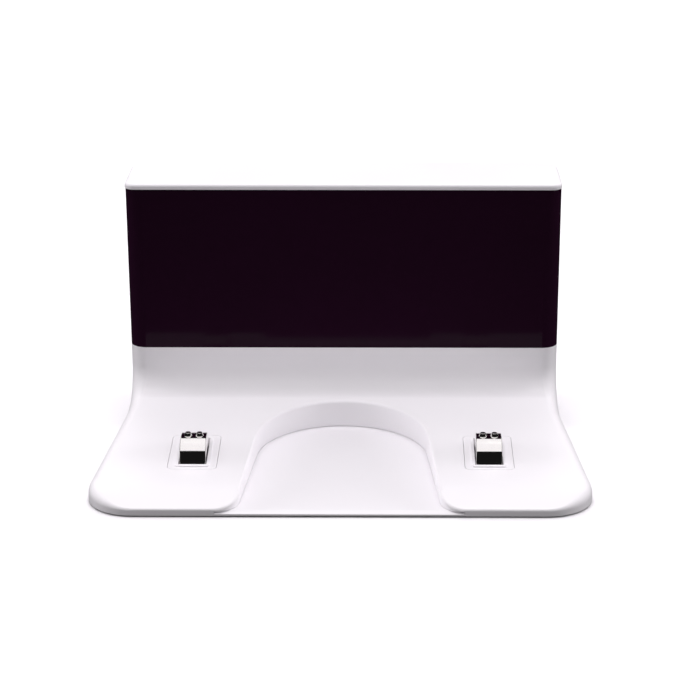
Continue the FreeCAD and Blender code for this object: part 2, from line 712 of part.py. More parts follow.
def make_rear_cover():
    """White cover: back and side walls with the lid over the window, posts and board bosses inside."""
    body = new_body("cover_shell")
    start = f"({WRAP_END} + Sizes.fit_gap)"
    inside = f"({HALF_BODY} - Sizes.cover_wall)"
    flat = f"({HALF_BODY} - Sizes.body_back_corner)"
    bend_y = f"({BACK} - Sizes.body_back_corner)"
    inner_bend = "(Sizes.body_back_corner - Sizes.cover_wall)"
    plan = new_sketch(body, "XY_Plane", "cover_plan", SEAM)
    outline(plan, [
        (HALF_BODY, start), (HALF_BODY, bend_y), (flat, BACK),
        (f"-{flat}", BACK), (f"-{HALF_BODY}", bend_y), (f"-{HALF_BODY}", start),
        (f"-{inside}", start), (f"-{inside}", bend_y), (f"-{flat}", COVER_INNER_BACK),
        (flat, COVER_INNER_BACK), (inside, bend_y), (inside, start),
    ], {
        1: ("Sizes.body_back_corner", True), 3: ("Sizes.body_back_corner", True),
        7: (inner_bend, False), 9: (inner_bend, False),
    })
    pad(body, plan, "Sizes.window_height")

    lid_front = f"({PANEL} - Sizes.lid_overhang)"
    front_bend = "Sizes.lid_corner"
    back_bend = "Sizes.body_back_corner"
    lid_bend_y = f"({lid_front} + {front_bend})"
    lid_flat = f"({HALF_BODY} - {front_bend})"
    lid = new_sketch(body, "XY_Plane", "cover_lid", WINDOW_TOP)
    outline(lid, [
        (HALF_BODY, lid_bend_y), (HALF_BODY, bend_y), (flat, BACK), (f"-{flat}", BACK),
        (f"-{HALF_BODY}", bend_y), (f"-{HALF_BODY}", lid_bend_y),
        (f"-{lid_flat}", lid_front), (lid_flat, lid_front),
    ], {1: (back_bend, True), 3: (back_bend, True), 5: (front_bend, True), 7: (front_bend, True)})
    pad(body, lid, "Sizes.lid_thickness")
    top = number(LID_TOP)
    round_edges(body, "cover_lid_round",
                lambda edge: edge.BoundBox.ZMin > top - 1e-4, "Sizes.lid_round")

    added = [body]
    removed = []
    for side, sign in SIDES.items():
        x = f"({sign} * {SCREW_X})"
        wall = f"({sign} * ({HALF_BODY} - Sizes.cover_wall / 2))"
        rib_span = (x, wall) if side == "right" else (wall, x)
        post_top = f"({SEAM} + Sizes.rib_height)"
        added.append(cylinder(f"post_{side}", (x, BACK_SCREW_Y, POST_LOW), "Sizes.boss_radius",
                              f"({post_top} - {POST_LOW})"))
        added.append(box(f"post_rib_{side}", rib_span, about(BACK_SCREW_Y, "(Sizes.rib_thickness / 2)"),
                         (SEAM, post_top)))
        removed.append(cylinder(f"post_pilot_{side}", (x, BACK_SCREW_Y, f"({POST_LOW} - {MARGIN})"),
                                SCREW_HOLE, f"(Sizes.back_screw_bite + Sizes.fit_gap + {MARGIN})"))
    for name, x, z in board_screw_places():
        added.append(cylinder(f"{name}_boss", (x, BOARD_BACK, z), "Sizes.board_boss",
                              f"({BACK} - Sizes.cover_wall / 2 - {BOARD_BACK})", "y"))
        removed.append(cylinder(f"{name}_pilot", (x, f"({BOARD_BACK} - {MARGIN})", z),
                                "(Sizes.board_screw + Sizes.screw_slack)",
                                f"({MARGIN} + Sizes.board_screw_bite + Sizes.fit_gap)", "y"))
    return cut("rear_cover", fuse("cover_solid", added), removed)


def board_screw_places():
    """Name and place of each board screw."""
    half_width = f"({HALF_BOARD} - Sizes.board_inset)"
    half_height = "(Sizes.board_height / 2 - Sizes.board_inset)"
    places = []
    for side, sign in SIDES.items():
        places.append((f"board_low_{side}", f"({sign} * {half_width})", f"({BOARD_MIDDLE} - {half_height})"))
        places.append((f"board_high_{side}", f"({sign} * {half_width})", f"({BOARD_MIDDLE} + {half_height})"))
    return places


# Charging contacts: sprung arches that slide in framed holders

def make_contact(side):
    """Plated arch with two feet that hold it under the collar, and two studs pressed up on its crown."""
    body = contact_part(new_body(f"contact_strip_{side}"), side)
    metal = "Sizes.contact_metal"
    radius = "Sizes.arch_radius"
    inner_radius = f"({radius} - {metal})"
    angle = "Sizes.arch_angle"
    toe = f"({HALF_CONTACT} + Sizes.contact_flange)"
    flat = "(Sizes.crown_flat / 2)"
    inside_arch = f"({HALF_ARCH} - {metal} * sin({angle}))"
    inside_low = f"({ARCH_LOW} - {metal} * cos({angle}))"
    inside = f"({inside_arch} + ({inside_low} - {FLANGE_LOW}) / tan({angle}))"
    under_crown = f"({CROWN} - {metal})"
    profile = new_sketch(body, "YZ_Plane", f"contact_profile_{side}")
    outline(profile, [
        (f"-{toe}", FLANGE_LOW), (f"-{toe}", FLANGE_TOP), (f"-{HALF_CONTACT}", FLANGE_TOP),
        (f"-{HALF_ARCH}", ARCH_LOW), (f"-{flat}", CROWN), (flat, CROWN),
        (HALF_ARCH, ARCH_LOW), (HALF_CONTACT, FLANGE_TOP), (toe, FLANGE_TOP), (toe, FLANGE_LOW),
        (inside, FLANGE_LOW), (inside_arch, inside_low), (flat, under_crown), (f"-{flat}", under_crown),
        (f"-{inside_arch}", inside_low), (f"-{inside}", FLANGE_LOW),
    ], {3: (radius, False), 5: (radius, False), 11: (inner_radius, True), 13: (inner_radius, True)})
    pad(body, profile, "Sizes.contact_width", symmetric=True)
    pieces = [body]
    for end, sign in SIDES.items():
        stud = doc.addObject("Part::Cone", f"stud_{side}_{end}")
        place(stud, f"{contact_x(side)} + {sign} * Sizes.stud_pitch / 2",
              f"{CONTACT_Y} - Sizes.stud_forward", f"{CROWN} - {metal} / 2")
        bind(stud, Radius1="Sizes.stud_radius", Radius2="Sizes.stud_top",
             Height=f"Sizes.stud_height + {metal} / 2")
        pieces.append(stud)
    return fuse(f"contact_{side}", pieces)


def make_contact_holder(side):
    """Insert that shows as a framed slot in the ramp and guides the contact."""
    body = contact_part(new_body(f"contact_holder_{side}"), side)
    under_ramp = "(Sizes.housing_wall / cos(Sizes.ramp_angle) + Sizes.fit_gap / 2)"
    half_collar = f"({HALF_SLOT_LENGTH} + Sizes.collar_wall)"
    collar_width = f"(2 * ({HALF_SLOT} + Sizes.collar_wall))"

    def raise_block(name, half, lift, width, corner=None):
        sketch = new_sketch(body, "YZ_Plane", f"{name}_{side}")
        outline(sketch, [(f"-{half}", PLATE_TOP), (half, PLATE_TOP),
                         (half, f"({ramp(f'({CONTACT_Y} + {half})')} + {lift})"),
                         (f"-{half}", f"({ramp(f'({CONTACT_Y} - {half})')} + {lift})")])
        pad(body, sketch, width, symmetric=True)
        if corner:
            corners = four_corners(f"({width} / 2)", half)
            round_edges(body, f"{name}_corners_{side}", upright_at(*corners), corner)

    def clear(name, y, z, width):
        sketch = new_sketch(body, "YZ_Plane", f"{name}_{side}")
        rectangle(sketch, y, z)
        pocket(body, sketch, width)

    raise_block("holder_ledge", f"({HALF_FACE} + Sizes.holder_ledge)", f"(-{under_ramp})",
                "Sizes.holder_face_width + 2 * Sizes.holder_ledge")
    raise_block("holder_face", HALF_FACE, 0, "Sizes.holder_face_width", "Sizes.holder_corner")
    raise_block("holder_collar", half_collar, "Sizes.collar_rise", collar_width, "Sizes.collar_corner")
    clear("holder_slot", about(0, HALF_SLOT_LENGTH), (HOLDER_FLOOR, CROWN), f"2 * {HALF_SLOT}")
    clear("holder_room", about(0, FLANGE_ROOM), (HOLDER_FLOOR, f"({FLANGE_TOP} + Sizes.contact_play)"),
          f"2 * {HALF_SLOT}")
    clear("holder_tail_slot", (HALF_CONTACT, f"({HALF_FACE} + Sizes.holder_ledge + {MARGIN})"),
          (HOLDER_FLOOR, f"({HOLDER_FLOOR} + Sizes.spring_metal + Sizes.contact_play)"),
          "Sizes.spring_width + 2 * Sizes.contact_play")
    return body


def make_contact_spring(side):
    """Bowed leaf spring under the contact; its tail carries the current to the lead."""
    body = contact_part(new_body(f"contact_spring_{side}"), side)
    metal = "Sizes.spring_metal"
    crown = f"({CROWN} - Sizes.contact_metal - Sizes.screw_slack)"
    top = "Sizes.spring_crown"
    reach = "Sizes.spring_reach"
    toe = f"({reach} + Sizes.spring_foot)"
    tail = f"({HALF_FACE} + Sizes.holder_ledge + Sizes.spring_tail)"
    floor_top = f"({HOLDER_FLOOR} + {metal})"
    profile = new_sketch(body, "YZ_Plane", f"spring_profile_{side}")
    outline(profile, [
        (f"-{toe}", HOLDER_FLOOR), (f"-{toe}", floor_top), (f"-{reach}", floor_top),
        (f"-{top}", crown), (top, crown), (reach, floor_top), (tail, floor_top), (tail, HOLDER_FLOOR),
        (f"({reach} - {metal})", HOLDER_FLOOR), (f"({top} - {metal} / 2)", f"({crown} - {metal})"),
        (f"({metal} / 2 - {top})", f"({crown} - {metal})"), (f"({metal} - {reach})", HOLDER_FLOOR),
    ])
    pad(body, profile, "Sizes.spring_width", symmetric=True)
    return body


def tube_along(name, points, radius, bend):
    """Round lead along straight runs with an arc of the bend radius at each corner."""
    corners = [Vector(*(number(value) for value in point)) for point in points]
    bend_radius = number(bend)
    edges = []
    start = corners[0]
    for before, corner, after in zip(corners, corners[1:], corners[2:]):
        back = (before - corner).normalize()
        ahead = (after - corner).normalize()
        half_angle = back.getAngle(ahead) / 2
        run = bend_radius / math.tan(half_angle)
        middle = (back + ahead).normalize()
        reach = (run ** 2 + bend_radius ** 2) ** 0.5 - bend_radius
        first = corner + back * run
        last = corner + ahead * run
        edges.append(Part.makeLine(start, first))
        edges.append(Part.Arc(first, corner + middle * reach, last).toShape())
        start = last
    edges.append(Part.makeLine(start, corners[-1]))
    spine = Part.Wire(edges)
    end_face = Part.Face(Part.Wire(Part.makeCircle(number(radius), corners[0], corners[1] - corners[0])))
    lead = doc.addObject("Part::Feature", name)
    lead.Shape = spine.makePipe(end_face)
    return lead


TERMINAL_LOW = f"({BOARD_BOTTOM} + Sizes.terminal_lift)"
TERMINAL_Z = (TERMINAL_LOW, f"({TERMINAL_LOW} + Sizes.terminal_height)")


def make_contact_lead(side):
    """Lead from the spring's tail along the bottom plate and up to its terminal."""
    x = contact_x(side)
    y = f"({BOARD_BACK} + Sizes.terminal_depth / 2)"
    tail = f"({CONTACT_Y} + {HALF_FACE} + Sizes.holder_ledge + Sizes.spring_tail)"
    return tube_along(f"contact_lead_{side}", [(x, tail, LEAD_Z), (x, y, LEAD_Z), (x, y, TERMINAL_LOW)],
                      "Sizes.lead_radius", "Sizes.lead_bend")


# Circuit board and its components

def on_back(depth):
    """Span along Y of a component that stands on the back of the board."""
    return (BOARD_BACK, f"({BOARD_BACK} + {depth})")


def make_board():
    """Board that hangs on the cover's bosses."""
    blank = box("board_blank", about(0, HALF_BOARD), (BOARD_FRONT, BOARD_BACK),
                about(BOARD_MIDDLE, "(Sizes.board_height / 2)"))
    hole_radius = "(Sizes.board_screw + Sizes.fit_gap)"
    hole_length = f"(Sizes.board_thickness + 2 * {MARGIN})"
    holes = [cylinder(f"{name}_hole", (x, f"({BOARD_FRONT} - {MARGIN})", z), hole_radius, hole_length, "y")
             for name, x, z in board_screw_places()]
    return cut("main_board", blank, holes)


def make_emitters():
    """Row of infrared emitters that look out through the window."""
    emitters = []
    for index in range(5):
        x = f"({index - 2} / 2 * ({HALF_BOARD} - Sizes.emitter_inset))"
        face = f"({BOARD_FRONT} - Sizes.emitter_body)"
        low = f"({BOARD_MIDDLE} - Sizes.emitter_height / 2)"
        case = box(f"emitter_case_{index + 1}", about(x, "(Sizes.emitter_width / 2)"), (face, BOARD_FRONT),
                   (low, f"({low} + Sizes.emitter_height)"))
        lens = cylinder(f"emitter_lens_{index + 1}", (x, face, low), "Sizes.emitter_lens",
                        "Sizes.emitter_height")
        emitters.append(fuse(f"ir_emitter_{index + 1}", [case, lens]))
    return emitters


def make_transformer():
    """Ferrite core with three legs and the winding round the middle one."""
    x = "Sizes.transformer_x"
    half_width = "(Sizes.core_width / 2)"
    half_height = "(Sizes.core_height / 2)"
    leg = "Sizes.core_leg"
    window = (about(x, f"({half_width} - {leg})"), about(BOARD_MIDDLE, f"({half_height} - {leg})"))
    standoff = "((Sizes.winding_depth - Sizes.core_depth) / 2)"
    core_y = (f"({BOARD_BACK} + {standoff})", f"({BOARD_BACK} + {standoff} + Sizes.core_depth)")
    winding_y = on_back("Sizes.winding_depth")
    middle_leg = about(x, f"({leg} / 2)")
    block = box("core_block", about(x, half_width), core_y, about(BOARD_MIDDLE, half_height))
    opening = box("core_opening", window[0], wider(core_y, MARGIN), window[1])
    frame = cut("core_frame", block, [opening])
    middle = box("core_middle", middle_leg, core_y, wider(window[1], f"{leg} / 2"))
    core = fuse("transformer_core", [frame, middle])
    wound = box("winding_block", wider(window[0], "-Sizes.core_gap"), winding_y,
                wider(window[1], "-Sizes.core_gap"))
    hole = box("winding_hole", wider(middle_leg, "Sizes.core_gap"),
               wider(core_y, "Sizes.core_gap"), wider(window[1], MARGIN))
    return [core, cut("transformer_winding", wound, [hole])]


def make_choke(x):
    """Drum choke: a winding neck between two flanges."""
    z = f"({BOARD_MIDDLE} + Sizes.choke_z)"
    top = f"({BOARD_BACK} + Sizes.choke_height - Sizes.choke_flange)"
    return fuse("line_choke", [
        cylinder("choke_neck_core", (x, BOARD_BACK, z), "Sizes.choke_neck", "Sizes.choke_height", "y"),
        cylinder("choke_foot", (x, BOARD_BACK, z), "Sizes.choke_radius", "Sizes.choke_flange", "y"),
        cylinder("choke_top", (x, top, z), "Sizes.choke_radius", "Sizes.choke_flange", "y"),
    ])


MAINS_X = ("(-Sizes.bay_left - Sizes.inlet_length - Sizes.pin_tail - Sizes.mains_lead_bend"
           " - Sizes.inlet_flange)")


def make_board_components():
    """Everything else on the back of the board."""
    fuse_y = f"({BOARD_BACK} + Sizes.fuse_radius)"
    fuse_z = f"({BOARD_TOP} - Sizes.fuse_drop)"
    fuse_x = f"({MAINS_X} - Sizes.fuse_length / 2)"
    parts = [
        cylinder("bulk_capacitor", ("Sizes.bulk_x", BOARD_BACK, f"({BOARD_TOP} - Sizes.bulk_drop)"),
                 "Sizes.bulk_radius", "Sizes.bulk_length", "y"),
        cylinder("output_capacitor", ("Sizes.output_x", BOARD_BACK, f"({BOARD_MIDDLE} + Sizes.output_z)"),
                 "Sizes.output_radius", "Sizes.output_length", "y"),
        cylinder("mains_fuse", (fuse_x, fuse_y, fuse_z), "Sizes.fuse_radius", "Sizes.fuse_length", "x"),
        make_choke(MAINS_X),
        box("mains_terminal", about(MAINS_X, "(Sizes.mains_terminal_width / 2)"),
            on_back("Sizes.mains_terminal_depth"), TERMINAL_Z),
    ]
    for name in ("rectifier", "controller"):
        parts.append(box(f"{name}_chip", about(f"Sizes.{name}_x", "(Sizes.chip_width / 2)"),
                         on_back("Sizes.chip_depth"),
                         about(f"({BOARD_BOTTOM} + Sizes.{name}_lift)", "(Sizes.chip_height / 2)")))
    for side in SIDES:
        parts.append(box(f"output_terminal_{side}", about(contact_x(side), "(Sizes.terminal_width / 2)"),
                         on_back("Sizes.terminal_depth"), TERMINAL_Z))
    return parts


# Mains inlet in the cord bay

INLET_FACE = "(-Sizes.bay_left)"
INLET_END = f"({INLET_FACE} - Sizes.inlet_length)"
SOCKET_FLOOR = f"({INLET_FACE} - Sizes.socket_depth)"


def pin_places():
    """Place along Y of the two pins."""
    return [(side, f"({INLET_Y} + {sign} * Sizes.pin_pitch / 2)") for side, sign in SIDES.items()]


def make_power_inlet():
    """Two-pin appliance inlet, its face flush with the wall of the bay and its flange behind that wall."""
    wall_back = f"({INLET_FACE} - Sizes.housing_wall)"
    half_span = "(Sizes.inlet_span / 2)"
    half_height = "(Sizes.inlet_height / 2)"
    block = box("inlet_block", (INLET_END, INLET_FACE), about(INLET_Y, half_span),
                about(INLET_Z, half_height))
    flange = box("inlet_flange", (f"({wall_back} - Sizes.inlet_flange_thickness)", wall_back),
                 about(INLET_Y, f"({half_span} + Sizes.inlet_flange)"),
                 about(INLET_Z, f"({half_height} + Sizes.inlet_flange)"))
    socket_radius = "(Sizes.socket_height / 2)"
    socket_half = f"(Sizes.socket_span / 2 - {socket_radius})"
    removed = [box("socket_middle", (SOCKET_FLOOR, f"({INLET_FACE} + {MARGIN})"), about(INLET_Y, socket_half),
                   about(INLET_Z, socket_radius))]
    for side, y in pin_places():
        end_y = f"({INLET_Y} + {SIDES[side]} * {socket_half})"
        removed.append(cylinder(f"socket_end_{side}", (SOCKET_FLOOR, end_y, INLET_Z), socket_radius,
                                f"(Sizes.socket_depth + {MARGIN})", "x"))
        removed.append(cylinder(f"pin_hole_{side}", (f"({INLET_END} - {MARGIN})", y, INLET_Z),
                                "Sizes.pin_radius", f"(Sizes.inlet_length + {MARGIN})", "x"))
    inlet = cut("power_inlet", fuse("inlet_solid", [block, flange]), removed)

    pin_start = f"({INLET_END} - Sizes.pin_tail)"
    pin_length = f"({SOCKET_FLOOR} + Sizes.pin_length - {pin_start})"
    pins = [cylinder(f"pin_{side}", (pin_start, y, INLET_Z), "Sizes.pin_radius", pin_length, "x")
            for side, y in pin_places()]
    leads = [tube_along(f"mains_lead_{side}", [(pin_start, y, INLET_Z), (MAINS_X, y, INLET_Z),
                                               (MAINS_X, y, TERMINAL_LOW)],
                        "Sizes.mains_lead_radius", "Sizes.mains_lead_bend")
             for side, y in pin_places()]
    return [inlet, group("inlet_pins", pins)] + leads


# Screws

def screw(name, place_of_head, head, head_height, shank, length, axis="z"):
    """Pan head with a plain shank; the place is the underside of the head."""
    x, y, z = place_of_head
    below = (x, y, f"({z} - {head_height})") if axis == "z" else (x, f"({y} - {head_height})", z)
    return fuse(name, [cylinder(f"{name}_head", below, head, head_height, axis),
                       cylinder(f"{name}_shank", below, shank, f"({head_height} + {length})", axis)])


def make_screws():
    """Screws of the front bosses, of the cover posts and of the board, each set as one group."""
    head = ("Sizes.screw_head", "Sizes.screw_head_height", "Sizes.screw_shank")
    short = f"({WELL_TOP} - {WELL_ROOF} + Sizes.front_screw_bite)"
    long = f"({POST_LOW} - {WELL_ROOF} + Sizes.back_screw_bite)"
    base = []
    cover = []
    for side, sign in SIDES.items():
        x = f"({sign} * {SCREW_X})"
        base.append(screw(f"base_screw_{side}", (x, FRONT_SCREW_Y, WELL_ROOF), *head, short))
        cover.append(screw(f"cover_screw_{side}", (x, BACK_SCREW_Y, WELL_ROOF), *head, long))
    board = [screw(f"{name}_screw", (x, BOARD_FRONT, z), "Sizes.board_screw_head",
                   "Sizes.board_screw_head_height", "Sizes.board_screw",
                   "(Sizes.board_thickness + Sizes.board_screw_bite)", "y")
             for name, x, z in board_screw_places()]
    return [group("base_screws", base), group("cover_screws", cover), group("board_screws", board)]


# Build, check and write every piece

pieces = [make_base_housing(), make_bottom_plate(), make_ir_window(), make_rear_cover(), make_board()]
pieces += make_feet() + make_emitters() + make_transformer() + make_board_components()
pieces += make_power_inlet() + make_screws()
for side_name in SIDES:
    pieces += [make_contact(side_name), make_contact_holder(side_name), make_contact_spring(side_name),
               make_contact_lead(side_name)]
doc.recompute()

for item in doc.Objects:
    if "Invalid" in item.State or "Error" in item.State:
        raise RuntimeError(f"{item.Name} did not build: {item.State}")
os.makedirs("parts", exist_ok=True)
for piece in pieces:
    piece.Label = piece.Name
    if piece.Shape.isNull() or not piece.Shape.isValid():
        raise RuntimeError(f"{piece.Label} has no valid shape")
    piece.Shape.exportStep(f"parts/{piece.Label}.step")
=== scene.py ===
"""Looks of a robot vacuum charging dock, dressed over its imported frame.

Lengths are metres and the frame is that of the solids: X across, -Y the front with the ramps, +Z up.
Each sub-assembly is a class with its sizes as fields; main() builds them in order.
"""
import json
import logging
import math
from collections.abc import Callable
from dataclasses import dataclass, field
from enum import Enum

import bmesh
import bpy
from mathutils import Matrix, Vector

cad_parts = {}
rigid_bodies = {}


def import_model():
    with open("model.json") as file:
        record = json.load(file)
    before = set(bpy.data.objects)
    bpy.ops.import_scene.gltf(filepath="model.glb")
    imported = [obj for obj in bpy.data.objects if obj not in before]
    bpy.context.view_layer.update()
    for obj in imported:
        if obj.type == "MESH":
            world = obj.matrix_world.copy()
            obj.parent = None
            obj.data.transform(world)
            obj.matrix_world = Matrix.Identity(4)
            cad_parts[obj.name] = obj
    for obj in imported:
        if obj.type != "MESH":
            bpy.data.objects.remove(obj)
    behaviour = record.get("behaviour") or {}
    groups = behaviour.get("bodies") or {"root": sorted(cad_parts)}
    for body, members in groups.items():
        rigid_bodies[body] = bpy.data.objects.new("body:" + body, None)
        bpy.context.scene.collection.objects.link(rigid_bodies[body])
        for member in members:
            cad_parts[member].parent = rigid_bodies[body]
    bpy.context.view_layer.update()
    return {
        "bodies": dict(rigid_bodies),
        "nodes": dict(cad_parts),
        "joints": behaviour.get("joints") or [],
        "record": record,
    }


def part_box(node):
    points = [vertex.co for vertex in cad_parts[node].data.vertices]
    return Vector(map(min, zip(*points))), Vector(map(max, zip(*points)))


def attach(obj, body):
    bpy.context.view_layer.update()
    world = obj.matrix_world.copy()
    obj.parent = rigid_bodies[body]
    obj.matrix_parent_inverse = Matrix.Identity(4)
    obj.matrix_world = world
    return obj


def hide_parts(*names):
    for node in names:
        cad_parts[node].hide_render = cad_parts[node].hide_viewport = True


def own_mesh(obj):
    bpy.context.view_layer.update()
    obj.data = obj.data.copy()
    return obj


LOG = logging.getLogger("dock")
MM = 0.001
TINY = 1e-6
MICRON_DIGITS = 6
HARD_EDGE_DEG = 35.0
# Part of the noise's range that most of its values fall in.
CLOUD_SPAN = (0.3, 0.7)
UP = Vector((0.0, 0.0, 1.0))
INWARD = Vector((0.0, 1.0, 0.0))
TO_RIGHT = Vector((1.0, 0.0, 0.0))


class Body(Enum):
    """Bodies of the frame that pieces ride on."""

    DOCK = "dock"
    CONTACT_LEFT = "contact_left"
    CONTACT_RIGHT = "contact_right"


class Side(Enum):
    """Left or right of the dock seen from the front."""

    LEFT = -1
    RIGHT = 1

    @property
    def word(self) -> str:
        """Name of the side as the nodes spell it."""
        return self.name.lower()


def linear(hex_colour: str) -> tuple[float, float, float, float]:
    """Turn an sRGB hex colour into linear light.

    Args:
        hex_colour: Six hex digits with a leading hash.

    Returns:
        Linear red, green, blue and an alpha of one.
    """
    channels = [int(hex_colour[start:start + 2], 16) / 255 for start in (1, 3, 5)]
    light = [c / 12.92 if c <= 0.04045 else ((c + 0.055) / 1.055) ** 2.4 for c in channels]
    return (light[0], light[1], light[2], 1.0)


def add_node(tree: bpy.types.NodeTree, kind: str, inputs: dict[str, object] | None = None,
             **settings: object) -> bpy.types.Node:
    """Add a node with its settings, and fill its inputs.

    Args:
        tree: Tree that gets the node.
        kind: Blender's name of the node type.
        inputs: Input name to an output socket, which is linked, or to a value.
        **settings: Properties of the node itself.

    Returns:
        The new node.
    """
    node = tree.nodes.new(kind)
    for name, value in settings.items():
        setattr(node, name, value)
    for name, value in (inputs or {}).items():
        if isinstance(value, bpy.types.NodeSocket):
            tree.links.new(value, node.inputs[name])
        else:
            node.inputs[name].default_value = value
    return node


@dataclass(frozen=True)
class Finish:
    """A material with fine grain, a slow drift of colour and a spread of roughness.

    Sizes of the patterns are millimetres on the real surface.
    """

    name: str
    colour: str
    drift_colour: str
    roughness: tuple[float, float]
    grain_mm: float
    grain_height_mm: float
    drift_mm: float = 18.0
    metallic: float = 0.0
    ior: float = 1.5
    specular: float = 0.5
    stretch: tuple[float, float, float] = (1.0, 1.0, 1.0)

    def build(self) -> bpy.types.Material:
        """Make the material, or find it if it is made already.

        Returns:
            The material.
        """
        made = bpy.data.materials.get(self.name)
        if made:
            return made
        material = bpy.data.materials.new(self.name)
        material.use_nodes = True
        tree = material.node_tree
        tree.nodes.clear()
        place = add_node(tree, "ShaderNodeTexCoord").outputs["Object"]
        shader = add_node(tree, "ShaderNodeBsdfPrincipled", {"Metallic": self.metallic,
                                                            "Specular IOR Level": self.specular})
        if not self.metallic:
            shader.inputs["IOR"].default_value = self.ior
        self.paint(tree, place, shader)
        self.texture(tree, place, shader)
        add_node(tree, "ShaderNodeOutputMaterial", {"Surface": shader.outputs["BSDF"]})
        return material

    def drift(self, tree: bpy.types.NodeTree, place: bpy.types.NodeSocket) -> bpy.types.NodeSocket:
        """Slow cloudy pattern from 0 to 1.

        Args:
            tree: Tree of the material.
            place: Coordinates to read.

        Returns:
            The pattern's output.
        """
        cloud = add_node(tree, "ShaderNodeTexNoise", {"Vector": place, "Scale": 1 / (self.drift_mm * MM),
                                                      "Detail": 3.0, "Roughness": 0.5})
        return cloud.outputs["Fac"]

    def paint(self, tree: bpy.types.NodeTree, place: bpy.types.NodeSocket, shader: bpy.types.Node) -> None:
        """Colour and roughness from the drift.

        Args:
            tree: Tree of the material.
            place: Coordinates to read.
            shader: Surface shader to fill.
        """
        cloud = self.drift(tree, place)
        tint = add_node(tree, "ShaderNodeMix", {"Factor": cloud, "A": linear(self.colour),
                                                "B": linear(self.drift_colour)}, data_type="RGBA")
        dull = add_node(tree, "ShaderNodeMapRange", {
            "Value": cloud, "From Min": CLOUD_SPAN[0], "From Max": CLOUD_SPAN[1],
            "To Min": self.roughness[0], "To Max": self.roughness[1]})
        tree.links.new(tint.outputs["Result"], shader.inputs["Base Color"])
        tree.links.new(dull.outputs["Result"], shader.inputs["Roughness"])

    def texture(self, tree: bpy.types.NodeTree, place: bpy.types.NodeSocket, shader: bpy.types.Node) -> None:
        """Fine grain as a bump.

        Args:
            tree: Tree of the material.
            place: Coordinates to read.
            shader: Surface shader to fill.
        """
        drawn = add_node(tree, "ShaderNodeMapping", {"Vector": place, "Scale": self.stretch})
        grain = add_node(tree, "ShaderNodeTexNoise", {"Vector": drawn.outputs["Vector"],
                                                      "Scale": 1 / (self.grain_mm * MM), "Detail": 2.0})
        bump = add_node(tree, "ShaderNodeBump", {"Height": grain.outputs["Fac"], "Strength": 1.0,
                                                 "Distance": self.grain_height_mm * MM})
        tree.links.new(bump.outputs["Normal"], shader.inputs["Normal"])


@dataclass(frozen=True)
class SolderMask(Finish):
    """Glass-epoxy laminate under a green mask, with the copper tracks lighter where they run beneath it."""

    track_colour: str = "#2f7a45"
    track_width_mm: float = 1.152
    track_spacing_mm: float = 3.072
    link_spacing_mm: float = 16.32
    # Unit that the pattern takes its sizes in.
    cell_mm: float = 9.6

    def paint(self, tree: bpy.types.NodeTree, place: bpy.types.NodeSocket, shader: bpy.types.Node) -> None:
        """Lay the tracks over the drift of the mask.

        Args:
            tree: Tree of the material.
            place: Coordinates to read.
            shader: Surface shader to fill.
        """
        super().paint(tree, place, shader)
        flat = add_node(tree, "ShaderNodeMapping", {"Vector": place, "Rotation": (math.radians(90), 0, 0)})
        tracks = add_node(tree, "ShaderNodeTexBrick", {
            "Vector": flat.outputs["Vector"], "Scale": 1 / (self.cell_mm * MM),
            "Mortar Size": self.track_width_mm / 2 / self.cell_mm,
            "Brick Width": self.link_spacing_mm / self.cell_mm,
            "Row Height": self.track_spacing_mm / self.cell_mm})
        mask = shader.inputs["Base Color"].links[0].from_socket
        laid = add_node(tree, "ShaderNodeMix", {"Factor": tracks.outputs["Fac"], "A": mask,
                                                "B": linear(self.track_colour)}, data_type="RGBA")
        tree.links.new(laid.outputs["Result"], shader.inputs["Base Color"])


# White ABS, injection moulded in a polished tool: satin gloss, nearly even, with a faint waviness in the
# highlights. Its flow marks are drawn a few millimetres wide, because the real ones are too faint to show.
WHITE_ABS = Finish("white_ABS_moulded", "#F8F6F9", "#F5F3F6", (0.30, 0.38), grain_mm=3.0,
                   grain_height_mm=0.004, drift_mm=30.0, ior=1.53)
# Infrared-pass acrylic, cast and polished: nearly black with a wine tint, and a clean mirror gloss.
DARK_ACRYLIC = Finish("infrared_acrylic_polished", "#200D1C", "#240D20", (0.05, 0.08), grain_mm=9.0,
                      grain_height_mm=0.004, drift_mm=40.0, ior=1.49, specular=0.06)
# Bright nickel over pressed brass strip: a clear mirror with faint rolling lines along the strip.
NICKEL_PLATE = Finish("bright_nickel_plated", "#F3F1EF", "#EDEBE9", (0.04, 0.09), grain_mm=0.5,
                      grain_height_mm=0.0012, drift_mm=3.0, metallic=1.0, stretch=(1.0, 0.05, 0.05))
# Stainless spring strip, cold rolled: grey, with rolling lines along its length.
SPRING_STEEL = Finish("stainless_spring_rolled", "#A9A9A8", "#9C9C9B", (0.22, 0.34), grain_mm=0.3,
                      grain_height_mm=0.003, drift_mm=4.0, metallic=1.0, stretch=(1.0, 0.06, 0.06))
# Zinc-plated steel screws, blue passivated: a soft grey metal with cloudy patches.
ZINC_PLATE = Finish("zinc_plated_steel", "#B4B7BD", "#9EA2AA", (0.25, 0.45), grain_mm=0.25,
                    grain_height_mm=0.004, drift_mm=1.5, metallic=1.0)
# Turned brass, nickel washed: warm bright metal with fine turning lines round the pin.
TURNED_BRASS = Finish("brass_turned", "#D8C79A", "#C9B583", (0.16, 0.28), grain_mm=0.25,
                      grain_height_mm=0.004, drift_mm=2.0, metallic=1.0, stretch=(1.0, 0.08, 0.08))
# Moulded rubber: dark grey, dull, with a fine spark-eroded grain.
FOOT_RUBBER = Finish("rubber_moulded", "#2B2A2B", "#343334", (0.78, 0.92), grain_mm=0.35,
                     grain_height_mm=0.02, drift_mm=5.0, ior=1.52, specular=0.3)
